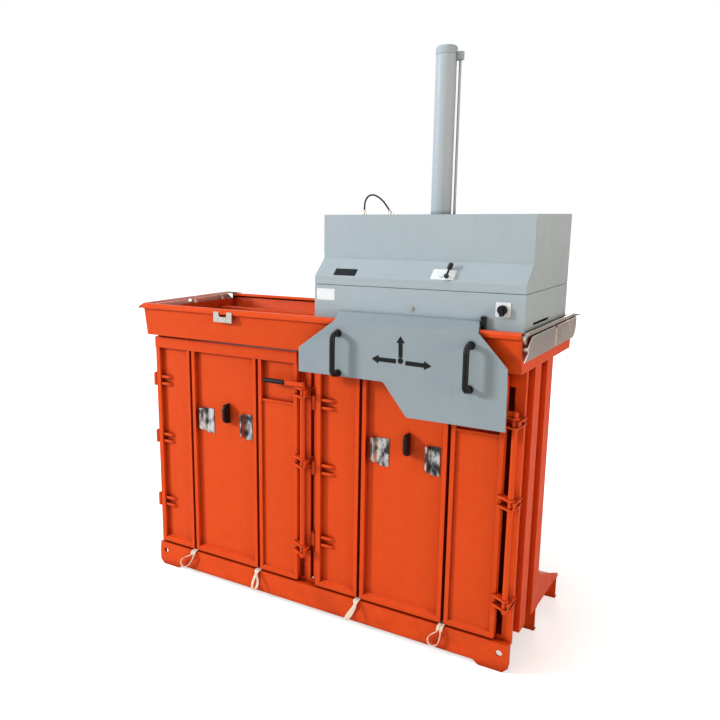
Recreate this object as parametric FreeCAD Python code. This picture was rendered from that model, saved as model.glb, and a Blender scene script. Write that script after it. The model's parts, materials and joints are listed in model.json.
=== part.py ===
"""Recycling baler: two steel chambers side by side and one press head that slides between them.

Frame: +X to the right along the front, +Y to the back, +Z up, millimetres.
Origin: on the floor, midway between the two chambers.
"""
import FreeCAD
import Part
import math
import os

Vec = FreeCAD.Vector

# ---------------------------------------------------------------- fits
CLEAR = 0.3                # running clearance of pins, rods, bores and slides
PIN_FIT = 0.1              # pin in the knuckle that holds it

# ---------------------------------------------------------------- chambers
CHAMBER_W = 818.0          # clear width of one chamber
CHAMBER_D = 428.0          # clear depth, from the closed door to the rear wall
FLOOR_TOP = 122.0          # height of the chamber floor
BODY_TOP = 1182.0          # top of the chamber walls
SHEET = 4.0                # wall sheet
DIVIDER_W = 82.0           # centre wall over its two sheets
POST_FACE_Y = -258.0       # front face of the posts, which the doors close on
POST_T = 8.0               # plate of the centre and latch posts
POST_LAP = 17.0            # a door's latch side over its post
POST_SLOT_W = 23.0         # upright slot in a post, beside the closed door
POST_GAP_W = 16.0          # upright slot on the hinge side of the centre post's strip
POST_STRIP_W = 32.0        # strip of the centre post between its two slots
POST_SLOT_Z = (136.0, 1120.0)
POST_BRIDGE = 16.0         # half height of the bridges behind the keepers
CORNER_POST_D = 19.0       # depth of the front corner post, seen from the side
RIB_DEPTH = 25.0           # how far the side wall ribs stand out
RIB_W = 79.0               # one vertical rib of a side wall
RIB_GAP = 87.0             # recess between two ribs
REAR_RIB_D = 26.0          # rear wall stiffeners
REAR_RIB_W = 60.0
REAR_RIB_COUNT = 6

# ---------------------------------------------------------------- base
SILL_T = 8.0               # plate of the front sill and its feet
SILL_PROUD = 34.0          # sill face in front of the posts
SILL_GAP = 17.0            # air under the sill between the feet
SHELF_D = 54.0             # shelf behind the sill, under the floor
FOOT_W = 96.0              # front foot, measured at its bottom
FOOT_OUT = 4.0             # how far a foot reaches past the side wall
FOOT_CHAMFER = 22.0
FOOT_SLOPE = 22.0          # slope from the foot's inner side up to the sill
FOOT_HOLE_R = 12.5
FOOT_HOLE_IN = 38.0        # hole in from the foot's outer edge
FOOT_HOLE_Z = 76.0
SKIRT_Z = 105.0            # lower edge of the side walls
MEMBER_T = 6.0             # channel section of the mid and rear members
MEMBER_D = 25.0
MID_MEMBER_Y = 80.0        # front face of the mid member
REAR_MEMBER_Y = 417.0      # front face of the rear member
GUSSET_T = 8.0             # rear gusset between side wall and rear member
GUSSET_H = 150.0
GUSSET_TOE = 10.0
FLOOR_T = 5.0
JOIST_W = 50.0             # joists that carry the floor on the mid member
JOISTS_PER_FLOOR = 3
GROOVE_W = 18.0            # strap groove in the floor
GROOVE_DEPTH = 3.0

# ---------------------------------------------------------------- doors
DOOR_LAP = 20.0            # each door past its chamber's clear width, on the hinge side
LATCH_BARE = 32.0          # clear width that a door leaves bare, on the latch side
DOOR_GAP = 2.0             # closed door to the posts
DOOR_D = 24.0              # depth of the door's edge flanges
DOOR_SKIN = 4.0
DOOR_BOTTOM = 125.0
DOOR_TOP = 1167.0
BAND_H = 51.0              # box along the top of the door
BAND_PROUD = 4.0
RAIL_H = 26.0              # box along the bottom of the door
EDGE_L_W = 23.0            # hinge side flange
EDGE_R_W = 18.0            # latch side flange
SLOT_X = (213.5, 595.0)    # strap slots, from the door's left edge
SLOT_W = 14.0
SLOT_RIB_W = 17.0          # folded rib on each side of a slot
POCKET_Z = 940.0           # lip below the lever's pocket
POCKET_LIP = 10.0
STEP_D = 10.0              # skin below the pocket, in front of the main skin

# ---------------------------------------------------------------- hinges
HINGE_Z = (338.0, 667.0, 955.0)
HINGE_OUT = 14.0           # hinge axis beyond the door's left edge
HINGE_FRONT = 13.0         # hinge axis in front of the posts
KNUCKLE_R = 13.0
KNUCKLE_H = 29.0
KNUCKLE_GAP = 1.0          # between the two knuckles of a hinge
HINGE_ARM = 12.0
HINGE_TAIL = 28.0          # frame arm along the side wall
PIN_R = 6.0
PIN_HEAD_R = 9.0
PIN_HEAD_H = 4.0
LUG_SPACING = 34.0         # the two gussets behind each hinge
LUG_T = 12.0
LUG_L = 62.0
LUG_BACK = 5.0             # gusset face behind the door's front

# ---------------------------------------------------------------- latch
ROD_R = 10.0
ROD_OUT = 43.0             # rod axis beyond the door's right edge
ROD_FRONT = 24.0           # rod axis in front of the door's face
LATCH_Z = (291.0, 690.0, 999.0)
GUIDE_SPACING = 36.0       # the two guide plates of each keeper
GUIDE_T = 8.0
GUIDE_EDGE = 5.5           # guide plate round its bore
GUIDE_ROOT = 12.0          # guide plate over the door's edge
DOG_REACH = 20.5
DOG_T = 14.0
DOG_H = 14.0
KEEPER_SPACING = 21.0      # the two plates of a keeper, inside the guide plates
KEEPER_T = 5.0
KEEPER_NEAR = 12.0         # keeper plates, from the rod axis
KEEPER_FAR = 22.0
KEEPER_PIN_R = 3.5         # pin in front of the dog
KEEPER_PIN_GAP = 1.0       # dog to its pin
KEEPER_LAP = 6.0           # right keepers past the side wall
KEEPER_TAIL = 14.0
LEVER_Z = 1033.0
LEVER_L = 199.0            # rod axis to the end of the grip
GRIP_L = 108.0
GRIP_R = 10.5
LEVER_BAR_H = 18.0
LEVER_BAR_T = 8.0
ROD_BELOW = 14.0           # rod end past its lowest guide

# ---------------------------------------------------------------- strap gear
HOOK_Z = 790.0             # strap hooks on the doors
HOOK_X = (302.0, 521.0)    # from the door's left edge
HOOK_H = 118.0
HOOK_T = 3.0
HOOK_FOOT = 33.0           # foot to the right of a hook's place
HOOK_REACH = (40.0, 20.0)  # curl to its left
HOOK_CURL = 26.0
CUTTER_X = 421.0
CUTTER_Z = 841.0
CUTTER_W = 12.0
CUTTER_H = 90.0
CUTTER_D = 44.0
CUTTER_ROUND = (20.0, 30.0)
STRAP_R = 2.5
STRAP_BEND = 12.0          # strap over the sill's top edge
STRAP_LEAN = (-0.75, 0.0, -0.45, -0.5)
STRAP_EDGE_ON = (False, True, True, False)
STRAP_SPREAD = 7.0         # the two runs of a loop, from its slot's middle
LOOP_R = 23.0              # half width of a strap loop
LOOP_DROP = 64.0           # height of a strap loop

# ---------------------------------------------------------------- collar
COLLAR_FRONT_Y = -326.0    # front panel at its bottom
COLLAR_REAR_Y = 346.0
COLLAR_LEAN = 18.0         # panels out over their height
COLLAR_T = 4.0
LIP_BOTTOM = 1308.0
LIP_TOP = 1332.0
LIP_OUT = 16.0             # lip in front of the panel
LIP_ROUND = 9.0
LIP_SLANT = 2.0
REAR_LIP_DROP = 14.0       # rear lip below the front one
LIP_HEM = 10.0             # turned-down inner edge of the lip
END_TOP = 1305.0           # upper edge of the collar's end panels
RAIL_TOP = 1262.0          # top of the rails that the press slides on
RAIL_LEDGE = 46.0
RAIL_T = 6.0
RAIL_FRONT_Y = -274.0      # inner face of the front rail
RAIL_REAR_Y = 210.0        # inner face of the rear rail
RAIL_END_GAP = 3.0

# ---------------------------------------------------------------- end guards
GUARD_OUT = 23.0           # inner face of the stainless guards, from the side walls
GUARD_T = 3.0
GUARD_Z0 = 1237.0
GUARD_Z1 = 1317.0
GUARD_FRONT_Y = -306.0
GUARD_JOINT_Y = -5.0
GUARD_JOINT = 22.0         # slit between the two plates of a guard
GUARD_REAR_Y = 320.0
GUARD_CORNER = 55.0        # rounded lower rear corner
GUARD_TOE = 86.0           # lower front toe, ahead of the plate
GUARD_TOE_H = 30.0
GUARD_NOSE_H = 54.0        # kink of the front edge, above the guard's lower edge
GUARD_BRACKETS = (-318.0, 40.0, 260.0)
BRACKET_R = 9.0
END_RAIL_T = 6.0
END_RAIL_H = 12.0
END_RAIL_TOP = 1332.0
END_RAIL_TIP = 130.0       # rear end of the rail that is bent down
END_RAIL_DROP = 18.0
END_RAIL_NOSE = 40.0       # front end of the rail that is bent down
END_RAIL_NOSE_DROP = 12.0
END_RAIL_FRONT_Y = -366.0
END_RAIL_REAR_Y = 440.0
END_RAIL_GAP = 18.0        # inner face of the end rail, from the head
STOP_Y = 350.0             # rubber caps on the ends of the rear lip
STOP_L = 36.0
STOP_H = 26.0
STOP_T = 8.0
STOP_RISE = 3.0

# ---------------------------------------------------------------- lip clips
CLIP_X = 43.0              # clips and tongue, from the chambers' centres
CLIP_W = 100.0
CLIP_H = 46.0
CLIP_NOTCH_W = 44.0
CLIP_NOTCH_H = 22.0
CLIP_TOP = 1322.0
CLIP_T = 4.0
TONGUE_W = 30.0
TONGUE_H = 16.0
TONGUE_LIFT = 4.0          # tongue above the notch's bottom

# ---------------------------------------------------------------- press head
HEAD_LAP = 20.0            # head past the chamber on each side
HEAD_FRONT_Y = -295.0
HEAD_REAR_Y = 270.0
HEAD_BOTTOM = 1300.0
SEAM_Z = 1460.0
SEAM_GAP = 2.0
SEAM_LAP = 18.0            # strip behind the seam that the cover is held by
SLOPE_FOOT_Z = 1492.0
SLOPE_TOP_Z = 1560.0
COVER_FRONT_Y = -222.0
HEAD_TOP = 1734.0
HEAD_SHEET = 4.0
DECK_T = 14.0
SHOE_W = 30.0
SHOE_L = 120.0
SHOE_IN = 60.0
SIDE_SLOT_L = 200.0
SIDE_SLOT_H = 9.0
SIDE_SLOT_Y = -190.0
SIDE_SLOT_Z = 1340.0

# ---------------------------------------------------------------- power pack
TANK = (270.0, 250.0, 190.0)
TANK_IN = 37.0             # tank to the head's right side sheet
TANK_Y = 120.0
MOTOR_R = 72.0
MOTOR_H = 190.0
PUMP = (90.0, 80.0, 70.0)
VALVE = (90.0, 60.0, 70.0)
VALVE_X = -137.0           # from the head's centre
BOX_W = 150.0              # electrical box behind the main switch
BOX_H = 118.0
BOX_D = 60.0

# ---------------------------------------------------------------- cylinder
CYL_Y = -42.0
CYL_R = 40.0
BORE_R = 31.0
GLAND_H = 40.0
CYL_TOP = 2330.0
CAP_H = 31.0
CAP_R = 41.0
CAP_ROUND = 12.0
ROD_RAM_R = 20.0
PISTON_H = 45.0
PISTON_DROP = 40.0         # piston below the barrel's top, with the ram drawn up
PISTON_FIT = 0.4
PIPE_R = 5.0
PIPE_X = 52.0              # pipe beside the cylinder, from its axis
PIPE_Y = 10.0
PIPE_DROP = 24.0           # top of the pipe below the barrel's top
PIPE_IN = 150.0            # pipe inside the head
FITTING_H = 30.0
FITTING_W = 22.0

# ---------------------------------------------------------------- platen
PLATEN_GAP = 14.0          # platen to the chamber walls
PLATEN_Z = 1196.0          # underside with the ram drawn up
PLATEN_T = 10.0
PLATEN_RIB_H = 66.0
PLATEN_RIB_T = 8.0
PLATEN_BOSS_R = 38.0

# ---------------------------------------------------------------- apron
APRON_Y = -380.0           # front face
APRON_T = 4.0
APRON_BEND_Z = 1328.0
APRON_TOP_Z = 1358.0
APRON_GAP = 1.0            # top edge to the head
APRON_RETURN = 24.0        # return flange on the left edge
APRON_CUT_R = 20.0         # rounding of the stepped lower edge
APRON_EDGE = [(-289, APRON_BEND_Z), (-453, 1208), (-453, 1108), (-73, 1108),
              (28, 981), (408, 981), (404, 1207), (291, APRON_BEND_Z),
              (267, APRON_TOP_Z + 1), (-313, APRON_TOP_Z + 1)]
BRACKET_X = 200.0          # brackets that the apron rests on
BRACKET_W = 40.0
BRACKET_D = 34.0
CATCH_X = 276.0
CATCH_W = 15.0
CATCH_UP = 17.0            # catch above the apron's top edge
CATCH_HOOK = 4.0
CATCH_LOW = 1317.0
CATCH_D = 18.0
HANDLE_X = (-270.0, 270.0)
HANDLE_R = 11.0
HANDLE_OUT = 46.0
HANDLE_H = 160.0
HANDLE_Z = 1200.0
HANDLE_BEND = 22.0
HANDLE_FOOT_R = 15.0
HANDLE_FOOT_T = 5.0

# ---------------------------------------------------------------- controls
SWITCH_X = 350.0           # from the head's centre
SWITCH_Z = 1402.0
SWITCH_W = 54.0
SWITCH_T = 3.0
KNOB_R = 17.0
KNOB_T = 13.0
KNOB_GRIP_L = 34.0
KNOB_GRIP_W = 12.0
KNOB_GRIP_H = 9.0
SHAFT_R = 4.0
CONTROL_X = 135.0          # control lever's pivot, from the head's centre
CONTROL_UP = 0.12          # its place on the slope, from the foot to the top
CONTROL_PLATE = (92.0, 52.0, 2.0)
CONTROL_PLATE_AT = (-22.0, 21.0)
BOSS_AT = (-31.0, 21.0)    # round boss beside the lever, from its pivot
BOSS_R = 18.0
BOSS_T = 6.0
PIVOT_R = 9.0
PIVOT_T = 12.0
CONTROL_REACH = 48.0       # lever from its pivot to the grip's middle
CONTROL_ARM_R = 4.0
CONTROL_GRIP_R = 9.0
CONTROL_GRIP_L = 28.0
LOCK_Z = 1386.0
LOCK_R = 7.0
LOCK_T = 6.0

# ---------------------------------------------------------------- hose loop
HOSE_R = 3.5
HOSE_WAY = [(-202, -72, 5), (-230, -71, 44), (-256, -69, 67), (-285, -67, 81),
            (-311, -65, 77), (-327, -63, 56), (-330, -62, 36), (-330, -62, 5)]
FITTING_R = 7.0
FITTING_L = 14.0
FLANGE_R = 11.0
FLANGE_T = 6.0

# ---------------------------------------------------------------- derived
INNER_X = DIVIDER_W / 2
SIDE_IN = INNER_X + CHAMBER_W
SIDE_X = SIDE_IN + SHEET + RIB_DEPTH
CENTRE = INNER_X + CHAMBER_W / 2
PIPE_TOP = CYL_TOP - PIPE_DROP
PISTON_TOP = CYL_TOP - PISTON_DROP
DOOR_BACK_Y = POST_FACE_Y - DOOR_GAP
DOOR_FACE_Y = DOOR_BACK_Y - DOOR_D
SKIN_FACE_Y = DOOR_BACK_Y - DOOR_SKIN
REAR_IN_Y = DOOR_BACK_Y + CHAMBER_D
REAR_OUT_Y = REAR_IN_Y + SHEET
SILL_FACE_Y = POST_FACE_Y - SILL_PROUD
SHELF_TOP = FLOOR_TOP - FLOOR_T
DOOR_W = CHAMBER_W + DOOR_LAP - LATCH_BARE
LEFT_DOOR_X = -SIDE_IN - DOOR_LAP
RIGHT_DOOR_X = LEFT_DOOR_X + CHAMBER_W + DIVIDER_W
HINGE_Y = POST_FACE_Y - HINGE_FRONT
ROD_Y = DOOR_FACE_Y - ROD_FRONT
RIB_STARTS = [POST_FACE_Y + CORNER_POST_D + RIB_GAP,
              POST_FACE_Y + CORNER_POST_D + RIB_GAP + RIB_W + RIB_GAP]
WALL_REAR_Y = RIB_STARTS[1] + RIB_W
COLLAR_FLOOR = BODY_TOP + COLLAR_T
DECK_TOP = HEAD_BOTTOM + DECK_T
HEAD_W = CHAMBER_W + 2 * HEAD_LAP
HEAD_X0 = CENTRE - HEAD_W / 2
HEAD_X1 = CENTRE + HEAD_W / 2
END_RAIL_X = HEAD_X1 + END_RAIL_GAP
GUARD_X = max(SIDE_X + GUARD_OUT, END_RAIL_X + END_RAIL_T)
TANK_X = HEAD_X1 - HEAD_SHEET - TANK_IN - TANK[0] / 2
LIP_FACE_Y = COLLAR_FRONT_Y - COLLAR_LEAN - LIP_OUT
COLLAR_MIDDLE_Y = (COLLAR_FRONT_Y + COLLAR_REAR_Y) / 2
HOSE_PATH = [(CENTRE + a, y, HEAD_TOP + h) for a, y, h in HOSE_WAY]
SLOPE_RUN = COVER_FRONT_Y - HEAD_FRONT_Y
SLOPE_RISE = SLOPE_TOP_Z - SLOPE_FOOT_Z
SLOPE_LEN = math.hypot(SLOPE_RUN, SLOPE_RISE)
SLOPE_OUT = Vec(0, -SLOPE_RISE / SLOPE_LEN, SLOPE_RUN / SLOPE_LEN)


# ---------------------------------------------------------------- helpers
def box(x0, x1, y0, y1, z0, z1):
    """Box between two corners."""
    return Part.makeBox(x1 - x0, y1 - y0, z1 - z0, Vec(x0, y0, z0))


def rod(start, radius, length, axis=(0, 0, 1)):
    """Cylinder from a start point along an axis."""
    return Part.makeCylinder(radius, length, Vec(*start), Vec(*axis))


def prism(points, plane, low, high):
    """Polygon in the XY, XZ or YZ plane, extruded along the third axis."""
    place = {"XY": lambda a, b: Vec(a, b, low),
             "XZ": lambda a, b: Vec(a, low, b),
             "YZ": lambda a, b: Vec(low, a, b)}[plane]
    way = {"XY": Vec(0, 0, 1), "XZ": Vec(0, 1, 0), "YZ": Vec(1, 0, 0)}[plane]
    corners = [place(a, b) for a, b in points]
    face = Part.Face(Part.makePolygon(corners + corners[:1]))
    return face.extrude(way * (high - low))


def folded(path, thickness):
    """Outline of a sheet folded along an open path, thickness to the left of the path."""
    normals = []
    for (a, b), (c, d) in zip(path, path[1:]):
        length = math.hypot(c - a, d - b)
        normals.append((-(d - b) / length, (c - a) / length))
    other = []
    for i, (a, b) in enumerate(path):
        n1 = normals[max(i - 1, 0)]
        n2 = normals[min(i, len(normals) - 1)]
        scale = thickness / (1 + n1[0] * n2[0] + n1[1] * n2[1])
        other.append((a + (n1[0] + n2[0]) * scale, b + (n1[1] + n2[1]) * scale))
    return path + other[::-1]


def round_wire(points, share=0.45):
    """Straight runs joined by tangent arcs, as large as the runs allow."""
    pts = [Vec(*p) for p in points]
    edges = []
    radii = []
    start = pts[0]
    for before, corner, after in zip(pts, pts[1:], pts[2:]):
        into = (corner - before).normalize()
        out = (after - corner).normalize()
        half = into.getAngle(out) / 2
        cut = share * min((corner - before).Length, (after - corner).Length)
        a = corner - into * cut
        b = corner + out * cut
        radius = cut / math.tan(half)
        bisector = (out - into).normalize()
        middle = corner + bisector * (radius / math.cos(half) - radius)
        edges += [Part.LineSegment(start, a).toShape(), Part.Arc(a, middle, b).toShape()]
        radii.append(radius)
        start = b
    edges.append(Part.LineSegment(start, pts[-1]).toShape())
    return Part.Wire(edges), radii


def tube(points, radius, name):
    """Round tube along straight runs and tangent arcs, with its volume checked."""
    wire, radii = round_wire(points)
    first = Vec(*points[0])
    way = Vec(*points[1]) - first
    profile = Part.Wire([Part.makeCircle(radius, first, way)])
    solid = wire.makePipeShell([profile], True, False)
    share = solid.Volume / (math.pi * radius ** 2 * wire.Length)
    print("%s: length %.0f mm, radii %s, volume share %.3f"
          % (name, wire.Length, [round(r) for r in radii], share))
    return solid


def fuse(shapes):
    """One shape from several that touch or overlap."""
    return shapes[0].multiFuse(shapes[1:]).removeSplitter()


def group(shapes):
    """Separate solids that share one node."""
    return Part.makeCompound(shapes)


def mirrored(shape):
    """The same shape on the other side of the centre plane."""
    return shape.mirror(Vec(0, 0, 0), Vec(1, 0, 0))


def turned(shape):
    """The same shape on the other end, turned half round about the collar's middle."""
    copy = shape.copy()
    copy.rotate(Vec(0, COLLAR_MIDDLE_Y, 0), Vec(0, 0, 1), 180)
    return copy


# ---------------------------------------------------------------- base
def front_sill():
    """Sill plate with a foot at each end, its returns, and the shelf under the floors."""
    outer = SIDE_X + FOOT_OUT
    inner = outer - FOOT_CHAMFER - FOOT_W
    half = [(outer, FOOT_CHAMFER), (outer - FOOT_CHAMFER, 0), (inner, 0),
            (inner - FOOT_SLOPE, SILL_GAP)]
    outline = half + [(-a, b) for a, b in half[::-1]] + [
        (-outer, FOOT_HOLE_Z), (-SIDE_X, SKIRT_Z), (-SIDE_X, SHELF_TOP),
        (SIDE_X, SHELF_TOP), (SIDE_X, SKIRT_Z), (outer, FOOT_HOLE_Z)]
    back = SILL_FACE_Y + SILL_T
    shelf = box(-SIDE_IN, SIDE_IN, back, POST_FACE_Y + SHELF_D - SILL_PROUD,
                SHELF_TOP - SILL_T, SHELF_TOP)
    ledge = box(-SIDE_X, SIDE_X, back, POST_FACE_Y - CLEAR, SHELF_TOP - SILL_T, SHELF_TOP)
    sill = fuse([prism(outline, "XZ", SILL_FACE_Y, back), shelf, ledge])
    for side in (-1, 1):
        inside, outside = sorted((side * (SIDE_X - SILL_T), side * SIDE_X))
        sill = sill.fuse(box(inside, outside, back, POST_FACE_Y - CLEAR, FOOT_CHAMFER,
                             SHELF_TOP))
        start = (side * (outer - FOOT_HOLE_IN), SILL_FACE_Y - 1, FOOT_HOLE_Z)
        sill = sill.cut(rod(start, FOOT_HOLE_R, SILL_T + 2, (0, 1, 0)))
    return sill


def cross_member(front_y):
    """Channel under the chambers, open to the back, that stands on the floor."""
    reach = SIDE_X
    path = [(front_y + MEMBER_D, SKIRT_Z), (front_y, SKIRT_Z),
            (front_y, 0), (front_y + MEMBER_D, 0)]
    return prism(folded(path, MEMBER_T), "YZ", -reach, reach)


def chamber_floor(x0, slots):
    """Floor plate on joists, with a groove under each strap slot."""
    x1 = x0 + CHAMBER_W
    plate = box(x0, x1, POST_FACE_Y + POST_T, REAR_IN_Y, SHELF_TOP, FLOOR_TOP)
    shelf_back = POST_FACE_Y + SHELF_D - SILL_PROUD
    step = CHAMBER_W / JOISTS_PER_FLOOR
    joists = [box(x0 + step * (i + 0.5) - JOIST_W / 2, x0 + step * (i + 0.5) + JOIST_W / 2,
                  shelf_back + CLEAR, REAR_IN_Y, SKIRT_Z, SHELF_TOP)
              for i in range(JOISTS_PER_FLOOR)]
    floor = fuse([plate] + joists)
    for x in slots:
        floor = floor.cut(box(x - GROOVE_W / 2, x + GROOVE_W / 2, POST_FACE_Y, REAR_IN_Y,
                              FLOOR_TOP - GROOVE_DEPTH, FLOOR_TOP + 1))
    return floor


# ---------------------------------------------------------------- chamber walls
def side_wall():
    """Right side wall: liner sheet, corner post and hollow ribs, and a rear gusset."""
    starts = [(POST_FACE_Y, CORNER_POST_D)] + [(y, RIB_W) for y in RIB_STARTS]
    outline = [(SIDE_IN, REAR_OUT_Y), (SIDE_IN, POST_FACE_Y)]
    voids = []
    for y, width in starts:
        outline += [(SIDE_IN + SHEET, y), (SIDE_X, y), (SIDE_X, y + width),
                    (SIDE_IN + SHEET, y + width)]
        voids.append(box(SIDE_IN + SHEET, SIDE_X - SHEET, y + SHEET, y + width - SHEET,
                         SKIRT_Z, BODY_TOP))
    outline += [(SIDE_IN + SHEET, REAR_OUT_Y)]
    outline.remove((SIDE_IN + SHEET, POST_FACE_Y))
    wall = prism(outline, "XY", SKIRT_Z, BODY_TOP).cut(Part.makeCompound(voids))
    rear = REAR_MEMBER_Y + MEMBER_D
    gusset = prism([(WALL_REAR_Y, SKIRT_Z), (rear, SKIRT_Z), (rear, SKIRT_Z + GUSSET_TOE),
                    (WALL_REAR_Y, SKIRT_Z + GUSSET_H)], "YZ", SIDE_X - GUSSET_T, SIDE_X)
    return fuse([wall, gusset])


def post_slots(x0, x1):
    """Upright slots through a post, with a bridge behind each keeper."""
    levels = [POST_SLOT_Z[0]]
    for z in LATCH_Z:
        levels += [z - POST_BRIDGE, z + POST_BRIDGE]
    levels.append(POST_SLOT_Z[1])
    return [box(x0, x1, POST_FACE_Y - 1, POST_FACE_Y + POST_T + 1, low, high)
            for low, high in zip(levels[::2], levels[1::2])]


def right_side_wall():
    """Side wall with the slotted post that the right door latches on."""
    edge = RIGHT_DOOR_X + DOOR_W
    post = box(edge - POST_LAP, SIDE_IN, POST_FACE_Y, POST_FACE_Y + SHEET,
               SHELF_TOP, BODY_TOP)
    post = post.cut(Part.makeCompound(post_slots(edge, edge + POST_SLOT_W)))
    return fuse([side_wall(), post])


def centre_wall():
    """Two sheets behind one slotted post plate that both doors close on."""
    edge = LEFT_DOOR_X + DOOR_W
    right = RIGHT_DOOR_X + EDGE_L_W - PIN_R
    back = POST_FACE_Y + POST_T
    gap = edge + POST_SLOT_W + POST_STRIP_W
    slots = post_slots(edge, edge + POST_SLOT_W) + post_slots(gap, gap + POST_GAP_W)
    post = box(edge - POST_LAP, right, POST_FACE_Y, back, SHELF_TOP, BODY_TOP)
    parts = [post.cut(Part.makeCompound(slots))]
    for side in (-1, 1):
        faces = sorted((side * INNER_X, side * (INNER_X - SHEET)))
        parts.append(box(faces[0], faces[1], back, REAR_IN_Y, SHELF_TOP, BODY_TOP))
    return fuse(parts)


def rear_wall():
    """Rear sheet with channel stiffeners, open towards the sheet."""
    parts = [box(-SIDE_IN, SIDE_IN, REAR_IN_Y, REAR_OUT_Y, SKIRT_Z, BODY_TOP)]
    step = 2 * SIDE_IN / REAR_RIB_COUNT
    for i in range(REAR_RIB_COUNT):
        x = -SIDE_IN + step * (i + 0.5) - REAR_RIB_W / 2
        path = [(x, REAR_OUT_Y), (x, REAR_OUT_Y + REAR_RIB_D),
                (x + REAR_RIB_W, REAR_OUT_Y + REAR_RIB_D), (x + REAR_RIB_W, REAR_OUT_Y)]
        parts.append(prism(folded(path, -SHEET), "XY", FLOOR_TOP, BODY_TOP))
    return fuse(parts)


# ---------------------------------------------------------------- collar and rails
def lip_profile(drop):
    """Front panel of the collar: floor flange, leaning panel and folded lip."""
    top_y = COLLAR_FRONT_Y - COLLAR_LEAN
    top = LIP_TOP - drop
    low = LIP_BOTTOM - drop
    return folded([(POST_FACE_Y + POST_T, BODY_TOP), (COLLAR_FRONT_Y, BODY_TOP),
                   (top_y, low), (LIP_FACE_Y, low + LIP_SLANT),
                   (LIP_FACE_Y, top - LIP_ROUND), (LIP_FACE_Y + LIP_ROUND, top),
                   (top_y + LIP_HEM, top),
                   (top_y + 1.6 * LIP_HEM, top - LIP_HEM)], -COLLAR_T)


def collar():
    """Rim above both chambers, open to the left one and to the press in the right one."""
    rear = [(2 * COLLAR_MIDDLE_Y - y, z) for y, z in lip_profile(REAR_LIP_DROP)]
    rear_floor = box(-SIDE_X, SIDE_X, REAR_IN_Y, COLLAR_REAR_Y - COLLAR_T,
                     BODY_TOP, COLLAR_FLOOR)
    shift = 2 * COLLAR_MIDDLE_Y - (POST_FACE_Y + POST_T)
    panels = [prism(lip_profile(0), "YZ", -SIDE_X, SIDE_X), rear_floor,
              prism(rear, "YZ", -SIDE_X, SIDE_X)]
    half_lean = COLLAR_LEAN - COLLAR_T
    end = [(COLLAR_FRONT_Y, BODY_TOP), (COLLAR_FRONT_Y - half_lean, END_TOP),
           (COLLAR_REAR_Y + half_lean, LIP_BOTTOM - REAR_LIP_DROP), (COLLAR_REAR_Y, BODY_TOP)]
    for side in (-1, 1):
        inner, outer = sorted((side * (SIDE_X - COLLAR_T), side * SIDE_X))
        panels.append(prism(end, "YZ", inner, outer))
        inner, outer = sorted((side * SIDE_IN, side * SIDE_X))
        panels.append(box(inner, outer, POST_FACE_Y + POST_T, shift, BODY_TOP, COLLAR_FLOOR))
    return fuse(panels)


def press_rail(inner_y, way):
    """Angle rail on the collar's floor: upright leg, and a ledge away from the chambers."""
    path = [(inner_y, COLLAR_FLOOR), (inner_y, RAIL_TOP), (inner_y + way * RAIL_LEDGE, RAIL_TOP)]
    reach = SIDE_X - COLLAR_T - RAIL_END_GAP
    return prism(folded(path, way * -RAIL_T), "YZ", -reach, reach)


def end_guard():
    """Stainless guard over the right end of the collar, in two plates on bushes."""
    rear_corner = GUARD_REAR_Y - GUARD_CORNER
    plate_x = (GUARD_X, GUARD_X + GUARD_T)
    nose = GUARD_FRONT_Y - GUARD_TOE / 2
    front = prism([(GUARD_FRONT_Y, GUARD_Z1), (nose, GUARD_Z0 + GUARD_NOSE_H),
                   (nose, GUARD_Z0 + GUARD_TOE_H), (GUARD_FRONT_Y - GUARD_TOE, GUARD_Z0),
                   (GUARD_JOINT_Y, GUARD_Z0), (GUARD_JOINT_Y, GUARD_Z1)], "YZ", *plate_x)
    rear = fuse([box(*plate_x, GUARD_JOINT_Y + GUARD_JOINT, GUARD_REAR_Y,
                     GUARD_Z0 + GUARD_CORNER, GUARD_Z1),
                 box(*plate_x, GUARD_JOINT_Y + GUARD_JOINT, rear_corner, GUARD_Z0, GUARD_Z1),
                 rod((GUARD_X, rear_corner, GUARD_Z0 + GUARD_CORNER), GUARD_CORNER,
                     GUARD_T, (1, 0, 0)).common(box(*plate_x, rear_corner, GUARD_REAR_Y,
                                                    GUARD_Z0, GUARD_Z0 + GUARD_CORNER))])
    strap = box(GUARD_X - GUARD_T, GUARD_X, GUARD_JOINT_Y - GUARD_JOINT,
                GUARD_JOINT_Y + 2 * GUARD_JOINT, GUARD_Z0, GUARD_Z1 - END_RAIL_H)
    bushes = [rod((SIDE_X, y, (GUARD_Z0 + GUARD_Z1) / 2 - END_RAIL_H / 2), BRACKET_R,
                  GUARD_X - SIDE_X, (1, 0, 0)) for y in GUARD_BRACKETS]
    return fuse([front, rear, strap] + bushes)


def end_rail():
    """Flat stainless rail along the right end, both tips bent down, on spacers."""
    top = END_RAIL_TOP
    low = top - END_RAIL_H
    nose = END_RAIL_FRONT_Y + END_RAIL_NOSE
    bend = END_RAIL_REAR_Y - END_RAIL_TIP
    bar = prism([(nose, low), (END_RAIL_FRONT_Y, low - END_RAIL_NOSE_DROP),
                 (END_RAIL_FRONT_Y, top - END_RAIL_NOSE_DROP), (nose, top), (bend, top),
                 (END_RAIL_REAR_Y, top - END_RAIL_DROP),
                 (END_RAIL_REAR_Y, low - END_RAIL_DROP / 2), (bend, low)], "YZ",
                END_RAIL_X, END_RAIL_X + END_RAIL_T)
    seats = [rod((SIDE_X, y, END_TOP - BRACKET_R), BRACKET_R, END_RAIL_X - SIDE_X,
                 (1, 0, 0)).fuse(box(END_RAIL_X - END_RAIL_T, END_RAIL_X, y - BRACKET_R,
                                     y + BRACKET_R, END_TOP - BRACKET_R, low + BRACKET_R))
             for y in GUARD_BRACKETS]
    return fuse([bar] + seats)


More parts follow.
